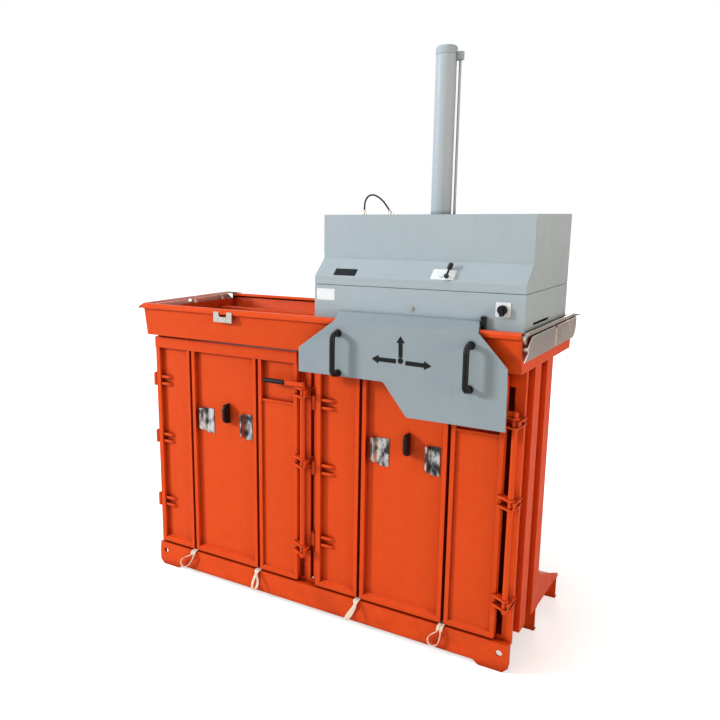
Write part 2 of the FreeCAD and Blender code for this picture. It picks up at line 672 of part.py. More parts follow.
def end_stops():
    """Rubber cap over each end of the collar's rear lip."""
    end = (SIDE_X, SIDE_X + STOP_T)
    cap = box(*end, STOP_Y, STOP_Y + STOP_L, LIP_TOP - REAR_LIP_DROP - STOP_H,
              LIP_TOP - REAR_LIP_DROP + STOP_RISE)
    return group([cap, mirrored(cap)])


def lip_clip(x):
    """Zinc catch plate on the lip, with the notch that holds the press in place."""
    plate = box(x - CLIP_W / 2, x + CLIP_W / 2, LIP_FACE_Y - CLIP_T, LIP_FACE_Y,
                CLIP_TOP - CLIP_H, CLIP_TOP)
    half = CLIP_NOTCH_W / 2
    notch = prism([(x - half, CLIP_TOP + 1), (x - half, CLIP_TOP - CLIP_NOTCH_H / 2),
                   (x - half / 1.2, CLIP_TOP - CLIP_NOTCH_H),
                   (x + half / 1.2, CLIP_TOP - CLIP_NOTCH_H),
                   (x + half, CLIP_TOP - CLIP_NOTCH_H / 2), (x + half, CLIP_TOP + 1)],
                  "XZ", LIP_FACE_Y - CLIP_T - 1, LIP_FACE_Y + 1)
    return plate.cut(notch)


# ---------------------------------------------------------------- doors
def door(x0):
    """Door pan with edge flanges, a top band and two strap slots between folded ribs."""
    x1 = x0 + DOOR_W
    back = DOOR_BACK_Y
    low = DOOR_BOTTOM + RAIL_H
    high = DOOR_TOP - BAND_H
    parts = [box(x0, x1, SKIN_FACE_Y, back, DOOR_BOTTOM, DOOR_TOP),
             box(x0, x0 + EDGE_L_W, DOOR_FACE_Y, SKIN_FACE_Y, DOOR_BOTTOM, DOOR_TOP),
             box(x1 - EDGE_R_W, x1, DOOR_FACE_Y, SKIN_FACE_Y, DOOR_BOTTOM, DOOR_TOP),
             box(x0, x1, DOOR_FACE_Y - BAND_PROUD, SKIN_FACE_Y, high, DOOR_TOP)]
    rail = prism([(SKIN_FACE_Y, DOOR_BOTTOM), (DOOR_FACE_Y, DOOR_BOTTOM),
                  (DOOR_FACE_Y, low - 6), (SKIN_FACE_Y, low + 6)], "YZ", x0, x1)
    parts.append(rail)
    step_x = x0 + SLOT_X[1] + SLOT_W / 2 + SLOT_RIB_W
    parts.append(box(step_x, x1 - EDGE_R_W, SKIN_FACE_Y - STEP_D, SKIN_FACE_Y,
                     DOOR_BOTTOM, POCKET_Z))
    parts.append(box(step_x, x1 - EDGE_R_W, DOOR_FACE_Y + BAND_PROUD, SKIN_FACE_Y,
                     POCKET_Z - POCKET_LIP, POCKET_Z))
    slots = []
    for slot in SLOT_X:
        for side in (-1, 1):
            centre = x0 + slot + side * (SLOT_W + SLOT_RIB_W) / 2
            parts.append(box(centre - SLOT_RIB_W / 2, centre + SLOT_RIB_W / 2,
                             DOOR_FACE_Y, SKIN_FACE_Y, DOOR_BOTTOM, high))
        slots.append(box(x0 + slot - SLOT_W / 2, x0 + slot + SLOT_W / 2,
                         DOOR_FACE_Y - 1, back + 1, DOOR_BOTTOM - 1, high))
    return fuse(parts).cut(Part.makeCompound(slots))


def door_hinges(x0):
    """Door half of each hinge: knuckle with its arm, and two gussets in the pan."""
    axis_x = x0 - HINGE_OUT
    pieces = []
    for z in HINGE_Z:
        low = z + KNUCKLE_GAP / 2
        knuckle = fuse([rod((axis_x, HINGE_Y, low), KNUCKLE_R, KNUCKLE_H),
                        box(axis_x, x0, HINGE_Y - HINGE_ARM / 2, HINGE_Y + HINGE_ARM / 2,
                            low, low + KNUCKLE_H)])
        pieces.append(knuckle.cut(rod((axis_x, HINGE_Y, low - 1), PIN_R + CLEAR,
                                      KNUCKLE_H + 2)))
        for side in (-1, 1):
            mid = z + side * LUG_SPACING / 2
            start = x0 + EDGE_L_W
            pieces.append(prism([(start, SKIN_FACE_Y), (start, DOOR_FACE_Y + LUG_BACK),
                                 (start + LUG_L * 0.8, DOOR_FACE_Y + LUG_BACK),
                                 (start + LUG_L, SKIN_FACE_Y)], "XY",
                                mid - LUG_T / 2, mid + LUG_T / 2))
    return group(pieces)


def frame_hinges():
    """Frame half of the six hinges, on the left side wall and on the centre post."""
    pieces = []
    for x0 in (LEFT_DOOR_X, RIGHT_DOOR_X):
        axis_x = x0 - HINGE_OUT
        for z in HINGE_Z:
            high = z - KNUCKLE_GAP / 2
            low = high - KNUCKLE_H
            if x0 == LEFT_DOOR_X:
                arm = box(axis_x - HINGE_ARM / 2, -SIDE_X, HINGE_Y,
                          POST_FACE_Y + HINGE_TAIL, low, high)
            else:
                arm = box(axis_x - HINGE_ARM / 2, axis_x + HINGE_ARM / 2, HINGE_Y,
                          POST_FACE_Y, low, high)
            knuckle = fuse([rod((axis_x, HINGE_Y, low), KNUCKLE_R, KNUCKLE_H), arm])
            pieces.append(knuckle.cut(rod((axis_x, HINGE_Y, low - 1), PIN_R + PIN_FIT,
                                          KNUCKLE_H + 2)))
    return group(pieces)


def hinge_pins():
    """Headed pin through the two knuckles of every hinge."""
    pins = []
    for x0 in (LEFT_DOOR_X, RIGHT_DOOR_X):
        axis_x = x0 - HINGE_OUT
        for z in HINGE_Z:
            top = z + KNUCKLE_GAP / 2 + KNUCKLE_H + CLEAR
            low = z - KNUCKLE_GAP / 2 - KNUCKLE_H
            pins.append(fuse([rod((axis_x, HINGE_Y, low), PIN_R, top - low),
                              rod((axis_x, HINGE_Y, top), PIN_HEAD_R, PIN_HEAD_H)]))
    return group(pins)


# ---------------------------------------------------------------- latches
def rod_guides(x0):
    """Plates on the door's edge that carry the latch rod, two at each keeper."""
    edge = x0 + DOOR_W
    axis_x = edge + ROD_OUT
    radius = ROD_R + GUIDE_EDGE
    plates = []
    for z in LATCH_Z:
        for side in (-1, 1):
            low = z + side * GUIDE_SPACING / 2 - GUIDE_T / 2
            arm = prism([(edge - GUIDE_ROOT, DOOR_FACE_Y), (edge, DOOR_FACE_Y),
                         (edge, DOOR_BACK_Y - DOOR_SKIN), (edge + ROD_OUT * 0.45,
                         DOOR_FACE_Y), (axis_x, ROD_Y + radius), (axis_x, ROD_Y - radius),
                         (edge - GUIDE_ROOT, DOOR_FACE_Y - GUIDE_T)], "XY", low, low + GUIDE_T)
            plate = fuse([arm, rod((axis_x, ROD_Y, low), radius, GUIDE_T)])
            plates.append(plate.cut(rod((axis_x, ROD_Y, low - 1), ROD_R + CLEAR,
                                        GUIDE_T + 2)))
    return group(plates)


def latch_rod(x0):
    """Upright rod, with a dog welded on at each keeper and the lever bar on top."""
    axis_x = x0 + DOOR_W + ROD_OUT
    low = LATCH_Z[0] - GUIDE_SPACING / 2 - GUIDE_T / 2 - ROD_BELOW
    shaft = rod((axis_x, ROD_Y, low), ROD_R, LEVER_Z + LEVER_BAR_H / 2 - low)
    arms = [box(axis_x, axis_x + DOG_REACH, ROD_Y - DOG_T / 2, ROD_Y + DOG_T / 2,
                z - DOG_H / 2, z + DOG_H / 2) for z in LATCH_Z]
    arms.append(box(axis_x - LEVER_L + GRIP_L, axis_x, ROD_Y - LEVER_BAR_T / 2,
                    ROD_Y + LEVER_BAR_T / 2, LEVER_Z - LEVER_BAR_H / 2,
                    LEVER_Z + LEVER_BAR_H / 2))
    return group([shaft] + [arm.cut(shaft) for arm in arms])


def lever_grip(x0):
    """Black grip on the end of the lever bar, with rounded ends."""
    start = x0 + DOOR_W + ROD_OUT - LEVER_L
    grip = rod((start, ROD_Y, LEVER_Z), GRIP_R, GRIP_L, (1, 0, 0))
    return grip.makeFillet(GRIP_R * 0.55, [e for e in grip.Edges if len(e.Vertexes) == 1])


def latch_keepers():
    """Keeper beside each dog: two plates on the post, with an upright pin before the dog."""
    pieces = []
    pin_y = ROD_Y - DOG_T / 2 - KEEPER_PIN_GAP - KEEPER_PIN_R
    front = pin_y - KEEPER_PIN_R
    inner = KEEPER_SPACING / 2 - KEEPER_T / 2
    for x0 in (LEFT_DOOR_X, RIGHT_DOOR_X):
        axis_x = x0 + DOOR_W + ROD_OUT
        near = axis_x + KEEPER_NEAR
        far = axis_x + KEEPER_FAR
        outline = [(near, POST_FACE_Y), (near, front), (far, front), (far, POST_FACE_Y)]
        if x0 == RIGHT_DOOR_X:
            edge = SIDE_X + KEEPER_LAP
            outline[-1:] = [(edge, pin_y), (edge, POST_FACE_Y + KEEPER_TAIL),
                            (SIDE_X, POST_FACE_Y + KEEPER_TAIL), (SIDE_X, POST_FACE_Y)]
        for z in LATCH_Z:
            pieces += [prism(outline, "XY", z - inner - KEEPER_T, z - inner),
                       prism(outline, "XY", z + inner, z + inner + KEEPER_T),
                       rod(((near + far) / 2, pin_y, z - inner), KEEPER_PIN_R, 2 * inner)]
    return group(pieces)


# ---------------------------------------------------------------- strap gear
def strap_hooks(x0):
    """Bent sheet hooks on the door that the strap ends are tied to."""
    hooks = []
    for offset, reach in zip(HOOK_X, HOOK_REACH):
        x = x0 + offset
        path = [(x + HOOK_FOOT, SKIN_FACE_Y), (x - reach * 0.28, SKIN_FACE_Y),
                (x - reach * 0.47, SKIN_FACE_Y - HOOK_CURL * 0.35),
                (x - reach * 0.69, SKIN_FACE_Y - HOOK_CURL * 0.9),
                (x - reach * 0.91, SKIN_FACE_Y - HOOK_CURL * 0.85),
                (x - reach, SKIN_FACE_Y - HOOK_CURL * 0.45)]
        sheet = prism(folded(path, HOOK_T), "XY", HOOK_Z - HOOK_H / 2, HOOK_Z + HOOK_H / 2)
        low = HOOK_Z - HOOK_H / 2
        corner = prism([(x + 1, low - 1), (x - 1.1 * reach, low - 1),
                        (x - 1.1 * reach, low + HOOK_H * 0.24)], "XZ",
                       SKIN_FACE_Y - HOOK_CURL * 2, DOOR_BACK_Y)
        hooks.append(sheet.cut(corner))
    return group(hooks)


def strap_cutter(x0):
    """Black strap knife holder: an upright fin with rounded front corners."""
    x = x0 + CUTTER_X
    fin = box(x - CUTTER_W / 2, x + CUTTER_W / 2, SKIN_FACE_Y - CUTTER_D, SKIN_FACE_Y,
              CUTTER_Z - CUTTER_H / 2, CUTTER_Z + CUTTER_H / 2)
    for radius, side in zip(CUTTER_ROUND, (1, -1)):
        corner = [e for e in fin.Edges if abs(e.tangentAt(e.FirstParameter).x) > 0.9
                  and e.CenterOfMass.y < SKIN_FACE_Y - CUTTER_D + 1
                  and (e.CenterOfMass.z - CUTTER_Z) * side > CUTTER_H / 3]
        fin = fin.makeFillet(radius, corner)
    return fin


def strap_loop(x, lean, edge_on, name):
    """Strap end that comes out under a door and hangs in a loop before the sill."""
    z = (SHELF_TOP + DOOR_BOTTOM) / 2
    start_y = POST_FACE_Y + POST_T
    over_sill = SILL_FACE_Y - STRAP_BEND
    top = Vec(x, over_sill - STRAP_BEND / 2, z - 2 * STRAP_BEND)
    fall = math.sqrt(1 - lean ** 2)
    axis = Vec(lean, -0.2 if edge_on else 0, -fall).normalize()
    side = axis.cross(Vec(1, 0, 0) if edge_on else Vec(0, 1, 0)).normalize()
    leg = LOOP_DROP / fall - LOOP_R * 0.87
    swell = LOOP_R - STRAP_SPREAD
    half = [(leg * k / 3, STRAP_SPREAD + swell * math.sin(k * math.pi / 6)) for k in range(4)]
    half.append((LOOP_DROP / fall, LOOP_R / 2))
    loop = [top + axis * u + side * -v for u, v in half]
    loop += [top + axis * u + side * v for u, v in half[::-1]]
    path = [(start_y, z), (DOOR_FACE_Y + 3 * STRAP_R, z), (over_sill, z - STRAP_R * 0.6)]
    into = [Vec(x - STRAP_SPREAD, y, h) for y, h in path]
    back = [Vec(x + STRAP_SPREAD, y, h) for y, h in path[::-1]]
    return tube(into + loop + back, STRAP_R, name)


# ---------------------------------------------------------------- press head
def press_deck():
    """Deck that carries the cylinder, on slide shoes that run on both rails."""
    deck = box(HEAD_X0 + HEAD_SHEET, HEAD_X1 - HEAD_SHEET, HEAD_FRONT_Y + HEAD_SHEET,
               HEAD_REAR_Y - HEAD_SHEET, HEAD_BOTTOM, DECK_TOP)
    return deck.cut(rod((CENTRE, CYL_Y, HEAD_BOTTOM - 1), ROD_RAM_R + CLEAR, DECK_T + 2))


def slide_shoes():
    """Four plastic shoes under the deck, just over the rails."""
    shoes = []
    lanes = ((RAIL_FRONT_Y - RAIL_T, -1), (RAIL_REAR_Y + RAIL_T, 1))
    for lane, way in lanes:
        y0, y1 = sorted((lane, lane + way * SHOE_W))
        y0 = max(y0, HEAD_FRONT_Y + HEAD_SHEET)
        for x0 in (HEAD_X0 + SHOE_IN, HEAD_X1 - SHOE_IN - SHOE_L):
            shoes.append(box(x0, x0 + SHOE_L, y0, y1, RAIL_TOP + CLEAR, HEAD_BOTTOM))
    return group(shoes)


def press_body():
    """Lower casing round the deck, with a slot in its right side and a strip at its seam."""
    outer = box(HEAD_X0, HEAD_X1, HEAD_FRONT_Y, HEAD_REAR_Y, HEAD_BOTTOM, SEAM_Z - SEAM_GAP)
    inner = box(HEAD_X0 + HEAD_SHEET, HEAD_X1 - HEAD_SHEET, HEAD_FRONT_Y + HEAD_SHEET,
                HEAD_REAR_Y - HEAD_SHEET, HEAD_BOTTOM - 1, SEAM_Z)
    slot = box(HEAD_X1 - HEAD_SHEET - 1, HEAD_X1 + 1, SIDE_SLOT_Y, SIDE_SLOT_Y + SIDE_SLOT_L,
               SIDE_SLOT_Z, SIDE_SLOT_Z + SIDE_SLOT_H)
    shaft = rod((CENTRE + SWITCH_X, HEAD_FRONT_Y - 1, SWITCH_Z), SHAFT_R + CLEAR,
                HEAD_SHEET + 2, (0, 1, 0))
    lap = [edge + side * HEAD_SHEET for edge, side in
           ((HEAD_X0, 1), (HEAD_X1, -1), (HEAD_FRONT_Y, 1), (HEAD_REAR_Y, -1))]
    strip = box(*lap, SEAM_Z - SEAM_LAP, SEAM_Z + SEAM_LAP)
    strip = strip.cut(box(lap[0] + HEAD_SHEET, lap[1] - HEAD_SHEET, lap[2] + HEAD_SHEET,
                          lap[3] - HEAD_SHEET, SEAM_Z - 2 * SEAM_LAP, SEAM_Z + 2 * SEAM_LAP))
    return fuse([outer.cut(inner).cut(slot).cut(shaft), strip])


def top_cover():
    """Upper casing with its sloped front, open below."""
    path = [(HEAD_FRONT_Y, SEAM_Z), (HEAD_FRONT_Y, SLOPE_FOOT_Z),
            (COVER_FRONT_Y, SLOPE_TOP_Z), (COVER_FRONT_Y, HEAD_TOP),
            (HEAD_REAR_Y, HEAD_TOP), (HEAD_REAR_Y, SEAM_Z)]
    shell = [prism(folded(path, -HEAD_SHEET), "YZ", HEAD_X0, HEAD_X1)]
    for x in (HEAD_X0, HEAD_X1 - HEAD_SHEET):
        shell.append(prism(path, "YZ", x, x + HEAD_SHEET))
    cover = fuse(shell)
    holes = [rod((CENTRE, CYL_Y, HEAD_TOP - 2 * HEAD_SHEET), CYL_R + CLEAR, 4 * HEAD_SHEET),
             rod((CENTRE + PIPE_X, CYL_Y + PIPE_Y, HEAD_TOP - 2 * HEAD_SHEET),
                 PIPE_R + CLEAR, 4 * HEAD_SHEET)]
    return cover.cut(Part.makeCompound(holes))


def on_slope(shape):
    """Shape made round the origin, facing +Z, set at the control's place on the slope."""
    turn = FreeCAD.Rotation(Vec(0, 0, 1), SLOPE_OUT)
    place = Vec(CENTRE + CONTROL_X, HEAD_FRONT_Y + SLOPE_RUN * CONTROL_UP,
                SLOPE_FOOT_Z + SLOPE_RISE * CONTROL_UP)
    shape.Placement = FreeCAD.Placement(place, turn)
    return shape


def control_boss():
    """Plate on the slope with a round boss, and the pivot base of the control lever."""
    w, d, t = CONTROL_PLATE
    x, y = CONTROL_PLATE_AT
    plate = box(x - w / 2, x + w / 2, y - d / 2, y + d / 2, 0, t)
    corners = [e for e in plate.Edges if abs(e.tangentAt(e.FirstParameter).z) > 0.9]
    boss = fuse([plate.makeFillet(8, corners), rod((*BOSS_AT, t), BOSS_R, BOSS_T),
                 rod((0, 0, t), PIVOT_R, PIVOT_T)])
    return on_slope(boss.cut(rod((0, 0, t), SHAFT_R + CLEAR, PIVOT_T + 1)))


def control_lever():
    """Lever on a shaft in its base, with a rounded grip."""
    low = CONTROL_PLATE[2] + PIVOT_T + CLEAR
    mid = low + CONTROL_ARM_R
    shaft = rod((0, 0, CONTROL_PLATE[2] + CLEAR), SHAFT_R, mid - CONTROL_PLATE[2])
    arm = rod((0, 0, mid), CONTROL_ARM_R, CONTROL_REACH, (0, 1, 0))
    cap = rod((0, 0, low), PIVOT_R, 2 * CONTROL_ARM_R)
    grip = rod((0, CONTROL_REACH - CONTROL_GRIP_L / 2, mid), CONTROL_GRIP_R,
               CONTROL_GRIP_L, (0, 1, 0))
    grip = grip.makeFillet(CONTROL_GRIP_R * 0.7,
                           [e for e in grip.Edges if len(e.Vertexes) == 1])
    return on_slope(Part.makeCompound([fuse([shaft, cap, arm, grip])]))


def cylinder_tube():
    """Cylinder barrel with its rod gland, standing on the deck."""
    top = CYL_TOP
    barrel = rod((CENTRE, CYL_Y, DECK_TOP), CYL_R, top - DECK_TOP)
    bore = rod((CENTRE, CYL_Y, DECK_TOP + GLAND_H), BORE_R, top - DECK_TOP)
    way = rod((CENTRE, CYL_Y, DECK_TOP - 1), ROD_RAM_R + CLEAR, GLAND_H + 2)
    return barrel.cut(bore).cut(way)


def cylinder_cap():
    """Rounded end cap with the block that takes the pressure pipe."""
    cap = rod((CENTRE, CYL_Y, CYL_TOP), CAP_R, CAP_H)
    rim = [e for e in cap.Edges if len(e.Vertexes) == 1 and e.CenterOfMass.z > CYL_TOP + 1]
    cap = cap.makeFillet(CAP_ROUND, rim)
    block = box(CENTRE, CENTRE + PIPE_X + FITTING_W / 2, CYL_Y + PIPE_Y - FITTING_W / 2,
                CYL_Y + PIPE_Y + FITTING_W / 2, PIPE_TOP, PIPE_TOP + FITTING_H)
    return fuse([cap, block.cut(rod((CENTRE, CYL_Y, PIPE_TOP - 1), CYL_R,
                                    CYL_TOP - PIPE_TOP + 1))])


def pressure_pipe():
    """Steel pipe from the block down into the head."""
    low = HEAD_TOP - PIPE_IN
    return rod((CENTRE + PIPE_X, CYL_Y + PIPE_Y, low), PIPE_R, PIPE_TOP - low)


def oil_tank():
    """Tank on the deck, with rounded upright edges."""
    w, d, h = TANK
    tank = box(TANK_X - w / 2, TANK_X + w / 2, TANK_Y - d / 2, TANK_Y + d / 2,
               DECK_TOP, DECK_TOP + h)
    upright = [e for e in tank.Edges if abs(e.tangentAt(e.FirstParameter).z) > 0.9]
    return tank.makeFillet(20, upright)


def electric_motor():
    """Motor upright on the tank, with its fan cowl."""
    base = DECK_TOP + TANK[2]
    return fuse([rod((TANK_X, TANK_Y, base), MOTOR_R * 0.75, MOTOR_H * 0.1),
                 rod((TANK_X, TANK_Y, base + MOTOR_H * 0.1), MOTOR_R, MOTOR_H * 0.7),
                 rod((TANK_X, TANK_Y, base + MOTOR_H * 0.8), MOTOR_R * 0.9, MOTOR_H * 0.2)])


def hydraulic_pump():
    """Gear pump on the deck beside the tank, against its wall."""
    w, d, h = PUMP
    wall = TANK_X - TANK[0] / 2
    return box(wall - w, wall, TANK_Y - d / 2, TANK_Y + d / 2, DECK_TOP, DECK_TOP + h)


def valve_block():
    """Valve block on the deck with two solenoids on top."""
    w, d, h = VALVE
    x = CENTRE + VALVE_X
    block = box(x - w / 2, x + w / 2, CYL_Y - d / 2, CYL_Y + d / 2, DECK_TOP, DECK_TOP + h)
    coils = [rod((x + side * w / 4, CYL_Y, DECK_TOP + h), w / 6, h / 2) for side in (-1, 1)]
    return fuse([block] + coils)


def electrical_box():
    """Closed box behind the main switch, on the casing's front sheet."""
    x = CENTRE + SWITCH_X
    right = min(x + BOX_W / 2, HEAD_X1 - HEAD_SHEET)
    front = HEAD_FRONT_Y + HEAD_SHEET
    return box(right - BOX_W, right, front, front + BOX_D, DECK_TOP, DECK_TOP + BOX_H)


def switch_plate():
    """Square plate of the main switch, with rounded corners."""
    x = CENTRE + SWITCH_X
    plate = box(x - SWITCH_W / 2, x + SWITCH_W / 2, HEAD_FRONT_Y - SWITCH_T, HEAD_FRONT_Y,
                SWITCH_Z - SWITCH_W / 2, SWITCH_Z + SWITCH_W / 2)
    corners = [e for e in plate.Edges if abs(e.tangentAt(e.FirstParameter).y) > 0.9]
    plate = plate.makeFillet(6, corners)
    return plate.cut(rod((x, HEAD_FRONT_Y - SWITCH_T - 1, SWITCH_Z), SHAFT_R + CLEAR,
                         SWITCH_T + 2, (0, 1, 0)))


def main_switch_knob():
    """Knob with a grip bar, on a shaft through the plate and the casing."""
    x = CENTRE + SWITCH_X
    face = HEAD_FRONT_Y - SWITCH_T - CLEAR
    dial = rod((x, face, SWITCH_Z), KNOB_R, KNOB_T, (0, -1, 0))
    grip = box(x - KNOB_GRIP_W / 2, x + KNOB_GRIP_W / 2, face - KNOB_T - KNOB_GRIP_H, face,
               SWITCH_Z - KNOB_GRIP_L + KNOB_GRIP_W, SWITCH_Z + KNOB_GRIP_W)
    shaft = rod((x, face, SWITCH_Z), SHAFT_R, SWITCH_T + HEAD_SHEET, (0, 1, 0))
    return fuse([dial, grip, shaft])


def head_lock():
    """Round lock cylinder above the apron."""
    return rod((CENTRE, HEAD_FRONT_Y - LOCK_T, LOCK_Z), LOCK_R, LOCK_T, (0, 1, 0))


# ---------------------------------------------------------------- apron
def apron():
    """Lifting apron: sheet bent over the collar's lip, its stepped outline cut out."""
    path = [(APRON_Y, APRON_EDGE[4][1] - 1), (APRON_Y, APRON_BEND_Z),
            (HEAD_FRONT_Y - APRON_GAP, APRON_TOP_Z)]
    points = [(CENTRE + a, b) for a, b in APRON_EDGE]
    left = points[1][0]
    sheet = prism(folded(path, -APRON_T), "YZ", left - 1, points[5][0] + 1)
    outline = prism(points, "XZ", APRON_Y - 1, HEAD_FRONT_Y)
    rounded = [e for e in outline.Edges if abs(e.tangentAt(e.FirstParameter).y) > 0.9
               and any(abs(e.CenterOfMass.x - points[i][0]) < 1
                       and abs(e.CenterOfMass.z - points[i][1]) < 1 for i in (3, 4))]
    outline = outline.makeFillet(APRON_CUT_R, rounded)
    hem = box(left, left + APRON_T, APRON_Y, APRON_Y + APRON_RETURN,
              points[2][1], points[1][1])
    x = CENTRE + CLIP_X
    low = CLIP_TOP - CLIP_NOTCH_H + TONGUE_LIFT
    tongue = box(x - TONGUE_W / 2, x + TONGUE_W / 2, APRON_Y + APRON_T,
                 LIP_FACE_Y - CLIP_T / 2, low, low + TONGUE_H)
    return fuse([sheet.common(outline), hem, tongue])


def apron_brackets():
    """Brackets on the casing that the apron's bent top rests on."""
    rise = (APRON_TOP_Z - APRON_BEND_Z) / (HEAD_FRONT_Y - APRON_GAP - APRON_Y)
    drop = APRON_T * math.hypot(1, rise) + CLEAR
    line = [(y, APRON_BEND_Z + rise * (y - APRON_Y) - drop)
            for y in (HEAD_FRONT_Y, HEAD_FRONT_Y - BRACKET_D)]
    side = [(HEAD_FRONT_Y, line[0][1] - 25), line[0], line[1], (line[1][0], line[1][1] - 5)]
    pair = [prism(side, "YZ", CENTRE + x - BRACKET_W / 2, CENTRE + x + BRACKET_W / 2)
            for x in (-BRACKET_X, BRACKET_X)]
    return group(pair)


def apron_catch():
    """Black spring catch on the casing, beside the apron's upper right corner."""
    x = CENTRE + CATCH_X
    high = APRON_TOP_Z + CATCH_UP
    plate = [(x, high), (x + CATCH_W, high), (x + CATCH_W, CATCH_LOW),
             (x + CATCH_HOOK, CATCH_LOW), (x + CATCH_HOOK, APRON_TOP_Z),
             (x, APRON_TOP_Z + 2 * CATCH_HOOK)]
    return prism(plate, "XZ", HEAD_FRONT_Y - CATCH_D, HEAD_FRONT_Y)


def apron_handle(x):
    """Black tubular handle with a round foot at each end."""
    half = HANDLE_H / 2
    foot_y = APRON_Y - HANDLE_FOOT_T
    out = APRON_Y - HANDLE_OUT
    pts = [Vec(x, foot_y, HANDLE_Z + half), Vec(x, out, HANDLE_Z + half),
           Vec(x, out, HANDLE_Z - half), Vec(x, foot_y, HANDLE_Z - half)]
    bend = HANDLE_BEND
    mid = bend * (1 - math.sqrt(0.5))
    edges = [Part.LineSegment(pts[0], pts[1] + Vec(0, bend, 0)).toShape(),
             Part.Arc(pts[1] + Vec(0, bend, 0), pts[1] + Vec(0, mid, -mid),
                      pts[1] + Vec(0, 0, -bend)).toShape(),
             Part.LineSegment(pts[1] + Vec(0, 0, -bend), pts[2] + Vec(0, 0, bend)).toShape(),
             Part.Arc(pts[2] + Vec(0, 0, bend), pts[2] + Vec(0, mid, mid),
                      pts[2] + Vec(0, bend, 0)).toShape(),
             Part.LineSegment(pts[2] + Vec(0, bend, 0), pts[3]).toShape()]
    profile = Part.Wire([Part.makeCircle(HANDLE_R, pts[0], Vec(0, -1, 0))])
    bar = Part.Wire(edges).makePipeShell([profile], True, False)
    feet = [rod((x, foot_y, HANDLE_Z + side * half), HANDLE_FOOT_R, HANDLE_FOOT_T, (0, 1, 0))
            for side in (-1, 1)]
    return fuse([bar] + feet)


# ---------------------------------------------------------------- ram
def piston_rod():
    """Chromed rod with its piston inside the barrel."""
    low = PLATEN_Z + PLATEN_T
    shaft = rod((CENTRE, CYL_Y, low), ROD_RAM_R, PISTON_TOP - low)
    piston = rod((CENTRE, CYL_Y, PISTON_TOP - PISTON_H), BORE_R - PISTON_FIT, PISTON_H)
    return fuse([shaft, piston])


def platen():
    """Press plate with crossed ribs and a boss that takes the rod."""
    x0 = INNER_X + PLATEN_GAP
    x1 = SIDE_IN - PLATEN_GAP
    y0 = DOOR_BACK_Y + PLATEN_GAP
    y1 = REAR_IN_Y - PLATEN_GAP
    top = PLATEN_Z + PLATEN_T
    half = PLATEN_RIB_T / 2
    parts = [box(x0, x1, y0, y1, PLATEN_Z, top)]
    for share in (0.0, 1 / 3, 2 / 3, 1.0):
        x = x0 + half + share * (x1 - x0 - 2 * half)
        parts.append(box(x - half, x + half, y0, y1, top, top + PLATEN_RIB_H))
    for y in (y0 + half, CYL_Y, y1 - half):
        parts.append(box(x0, x1, y - half, y + half, top, top + PLATEN_RIB_H))
    parts.append(rod((CENTRE, CYL_Y, top), PLATEN_BOSS_R, PLATEN_RIB_H))
    return fuse(parts).cut(rod((CENTRE, CYL_Y, top), ROD_RAM_R, PLATEN_RIB_H + 1))


# ---------------------------------------------------------------- hose loop
def hose_ends():
    """Each end of the hose's route on the cover, with its direction out of the fitting."""
    ends = []
    for here, after in ((HOSE_PATH[0], HOSE_PATH[1]), (HOSE_PATH[-1], HOSE_PATH[-2])):
        ends.append((Vec(*here), (Vec(*after) - Vec(*here)).normalize()))
    return ends


def hose_fittings():
    """Fitting at each end of the hose, on a flange on top of the cover."""
    pieces = []
    for start, way in hose_ends():
        pieces.append(fuse([Part.makeCylinder(FITTING_R, FITTING_L, start, way),
                            rod((start.x, start.y, HEAD_TOP), FLANGE_R, FLANGE_T)]))
    return group(pieces)


def control_hose():
    """Hose from one fitting to the other in a loop above the cover."""
    ends = [start + way * FITTING_L for start, way in hose_ends()]
    return tube([ends[0]] + HOSE_PATH[1:-1] + [ends[1]], HOSE_R, "control_hose")


# ---------------------------------------------------------------- all nodes
slots = {x0: [x0 + s for s in SLOT_X] for x0 in (LEFT_DOOR_X, RIGHT_DOOR_X)}
strap_xs = slots[LEFT_DOOR_X] + slots[RIGHT_DOOR_X]
guard = end_guard()
rail = end_rail()
wall = side_wall()

nodes = {
    "front_sill": front_sill(),
    "cross_members": group([cross_member(MID_MEMBER_Y), cross_member(REAR_MEMBER_Y)]),
    "chamber_floors": group([chamber_floor(-SIDE_IN, slots[LEFT_DOOR_X]),
                             chamber_floor(INNER_X, slots[RIGHT_DOOR_X])]),
    "left_side_wall": mirrored(wall),
    "right_side_wall": right_side_wall(),
    "centre_wall": centre_wall(),
    "rear_wall": rear_wall(),
    "collar": collar(),
    "press_rails": group([press_rail(RAIL_FRONT_Y, -1), press_rail(RAIL_REAR_Y, 1)]),
    "end_guards": group([guard, turned(guard)]),
    "end_rails": group([rail, mirrored(rail)]),
    "end_stops": end_stops(),
    "lip_clips": group([lip_clip(CLIP_X - CENTRE), lip_clip(CLIP_X + CENTRE)]),
    "frame_hinges": frame_hinges(),
    "hinge_pins": hinge_pins(),
    "latch_keepers": latch_keepers(),
    "press_deck": press_deck(),
    "slide_shoes": slide_shoes(),
    "press_body": press_body(),
    "top_cover": top_cover(),
    "cylinder_tube": cylinder_tube(),
    "cylinder_cap": cylinder_cap(),
    "pressure_pipe": pressure_pipe(),
    "oil_tank": oil_tank(),
    "electric_motor": electric_motor(),
    "hydraulic_pump": hydraulic_pump(),
    "valve_block": valve_block(),
    "electrical_box": electrical_box(),
    "switch_plate": switch_plate(),
    "main_switch_knob": main_switch_knob(),
    "control_boss": control_boss(),
    "control_lever": control_lever(),
    "head_lock": head_lock(),
    "hose_fittings": hose_fittings(),
    "control_hose": control_hose(),
    "apron": apron(),
    "apron_brackets": apron_brackets(),
    "apron_catch": apron_catch(),
    "left_apron_handle": apron_handle(CENTRE + HANDLE_X[0]),
    "right_apron_handle": apron_handle(CENTRE + HANDLE_X[1]),
    "piston_rod": piston_rod(),
    "platen": platen(),
}
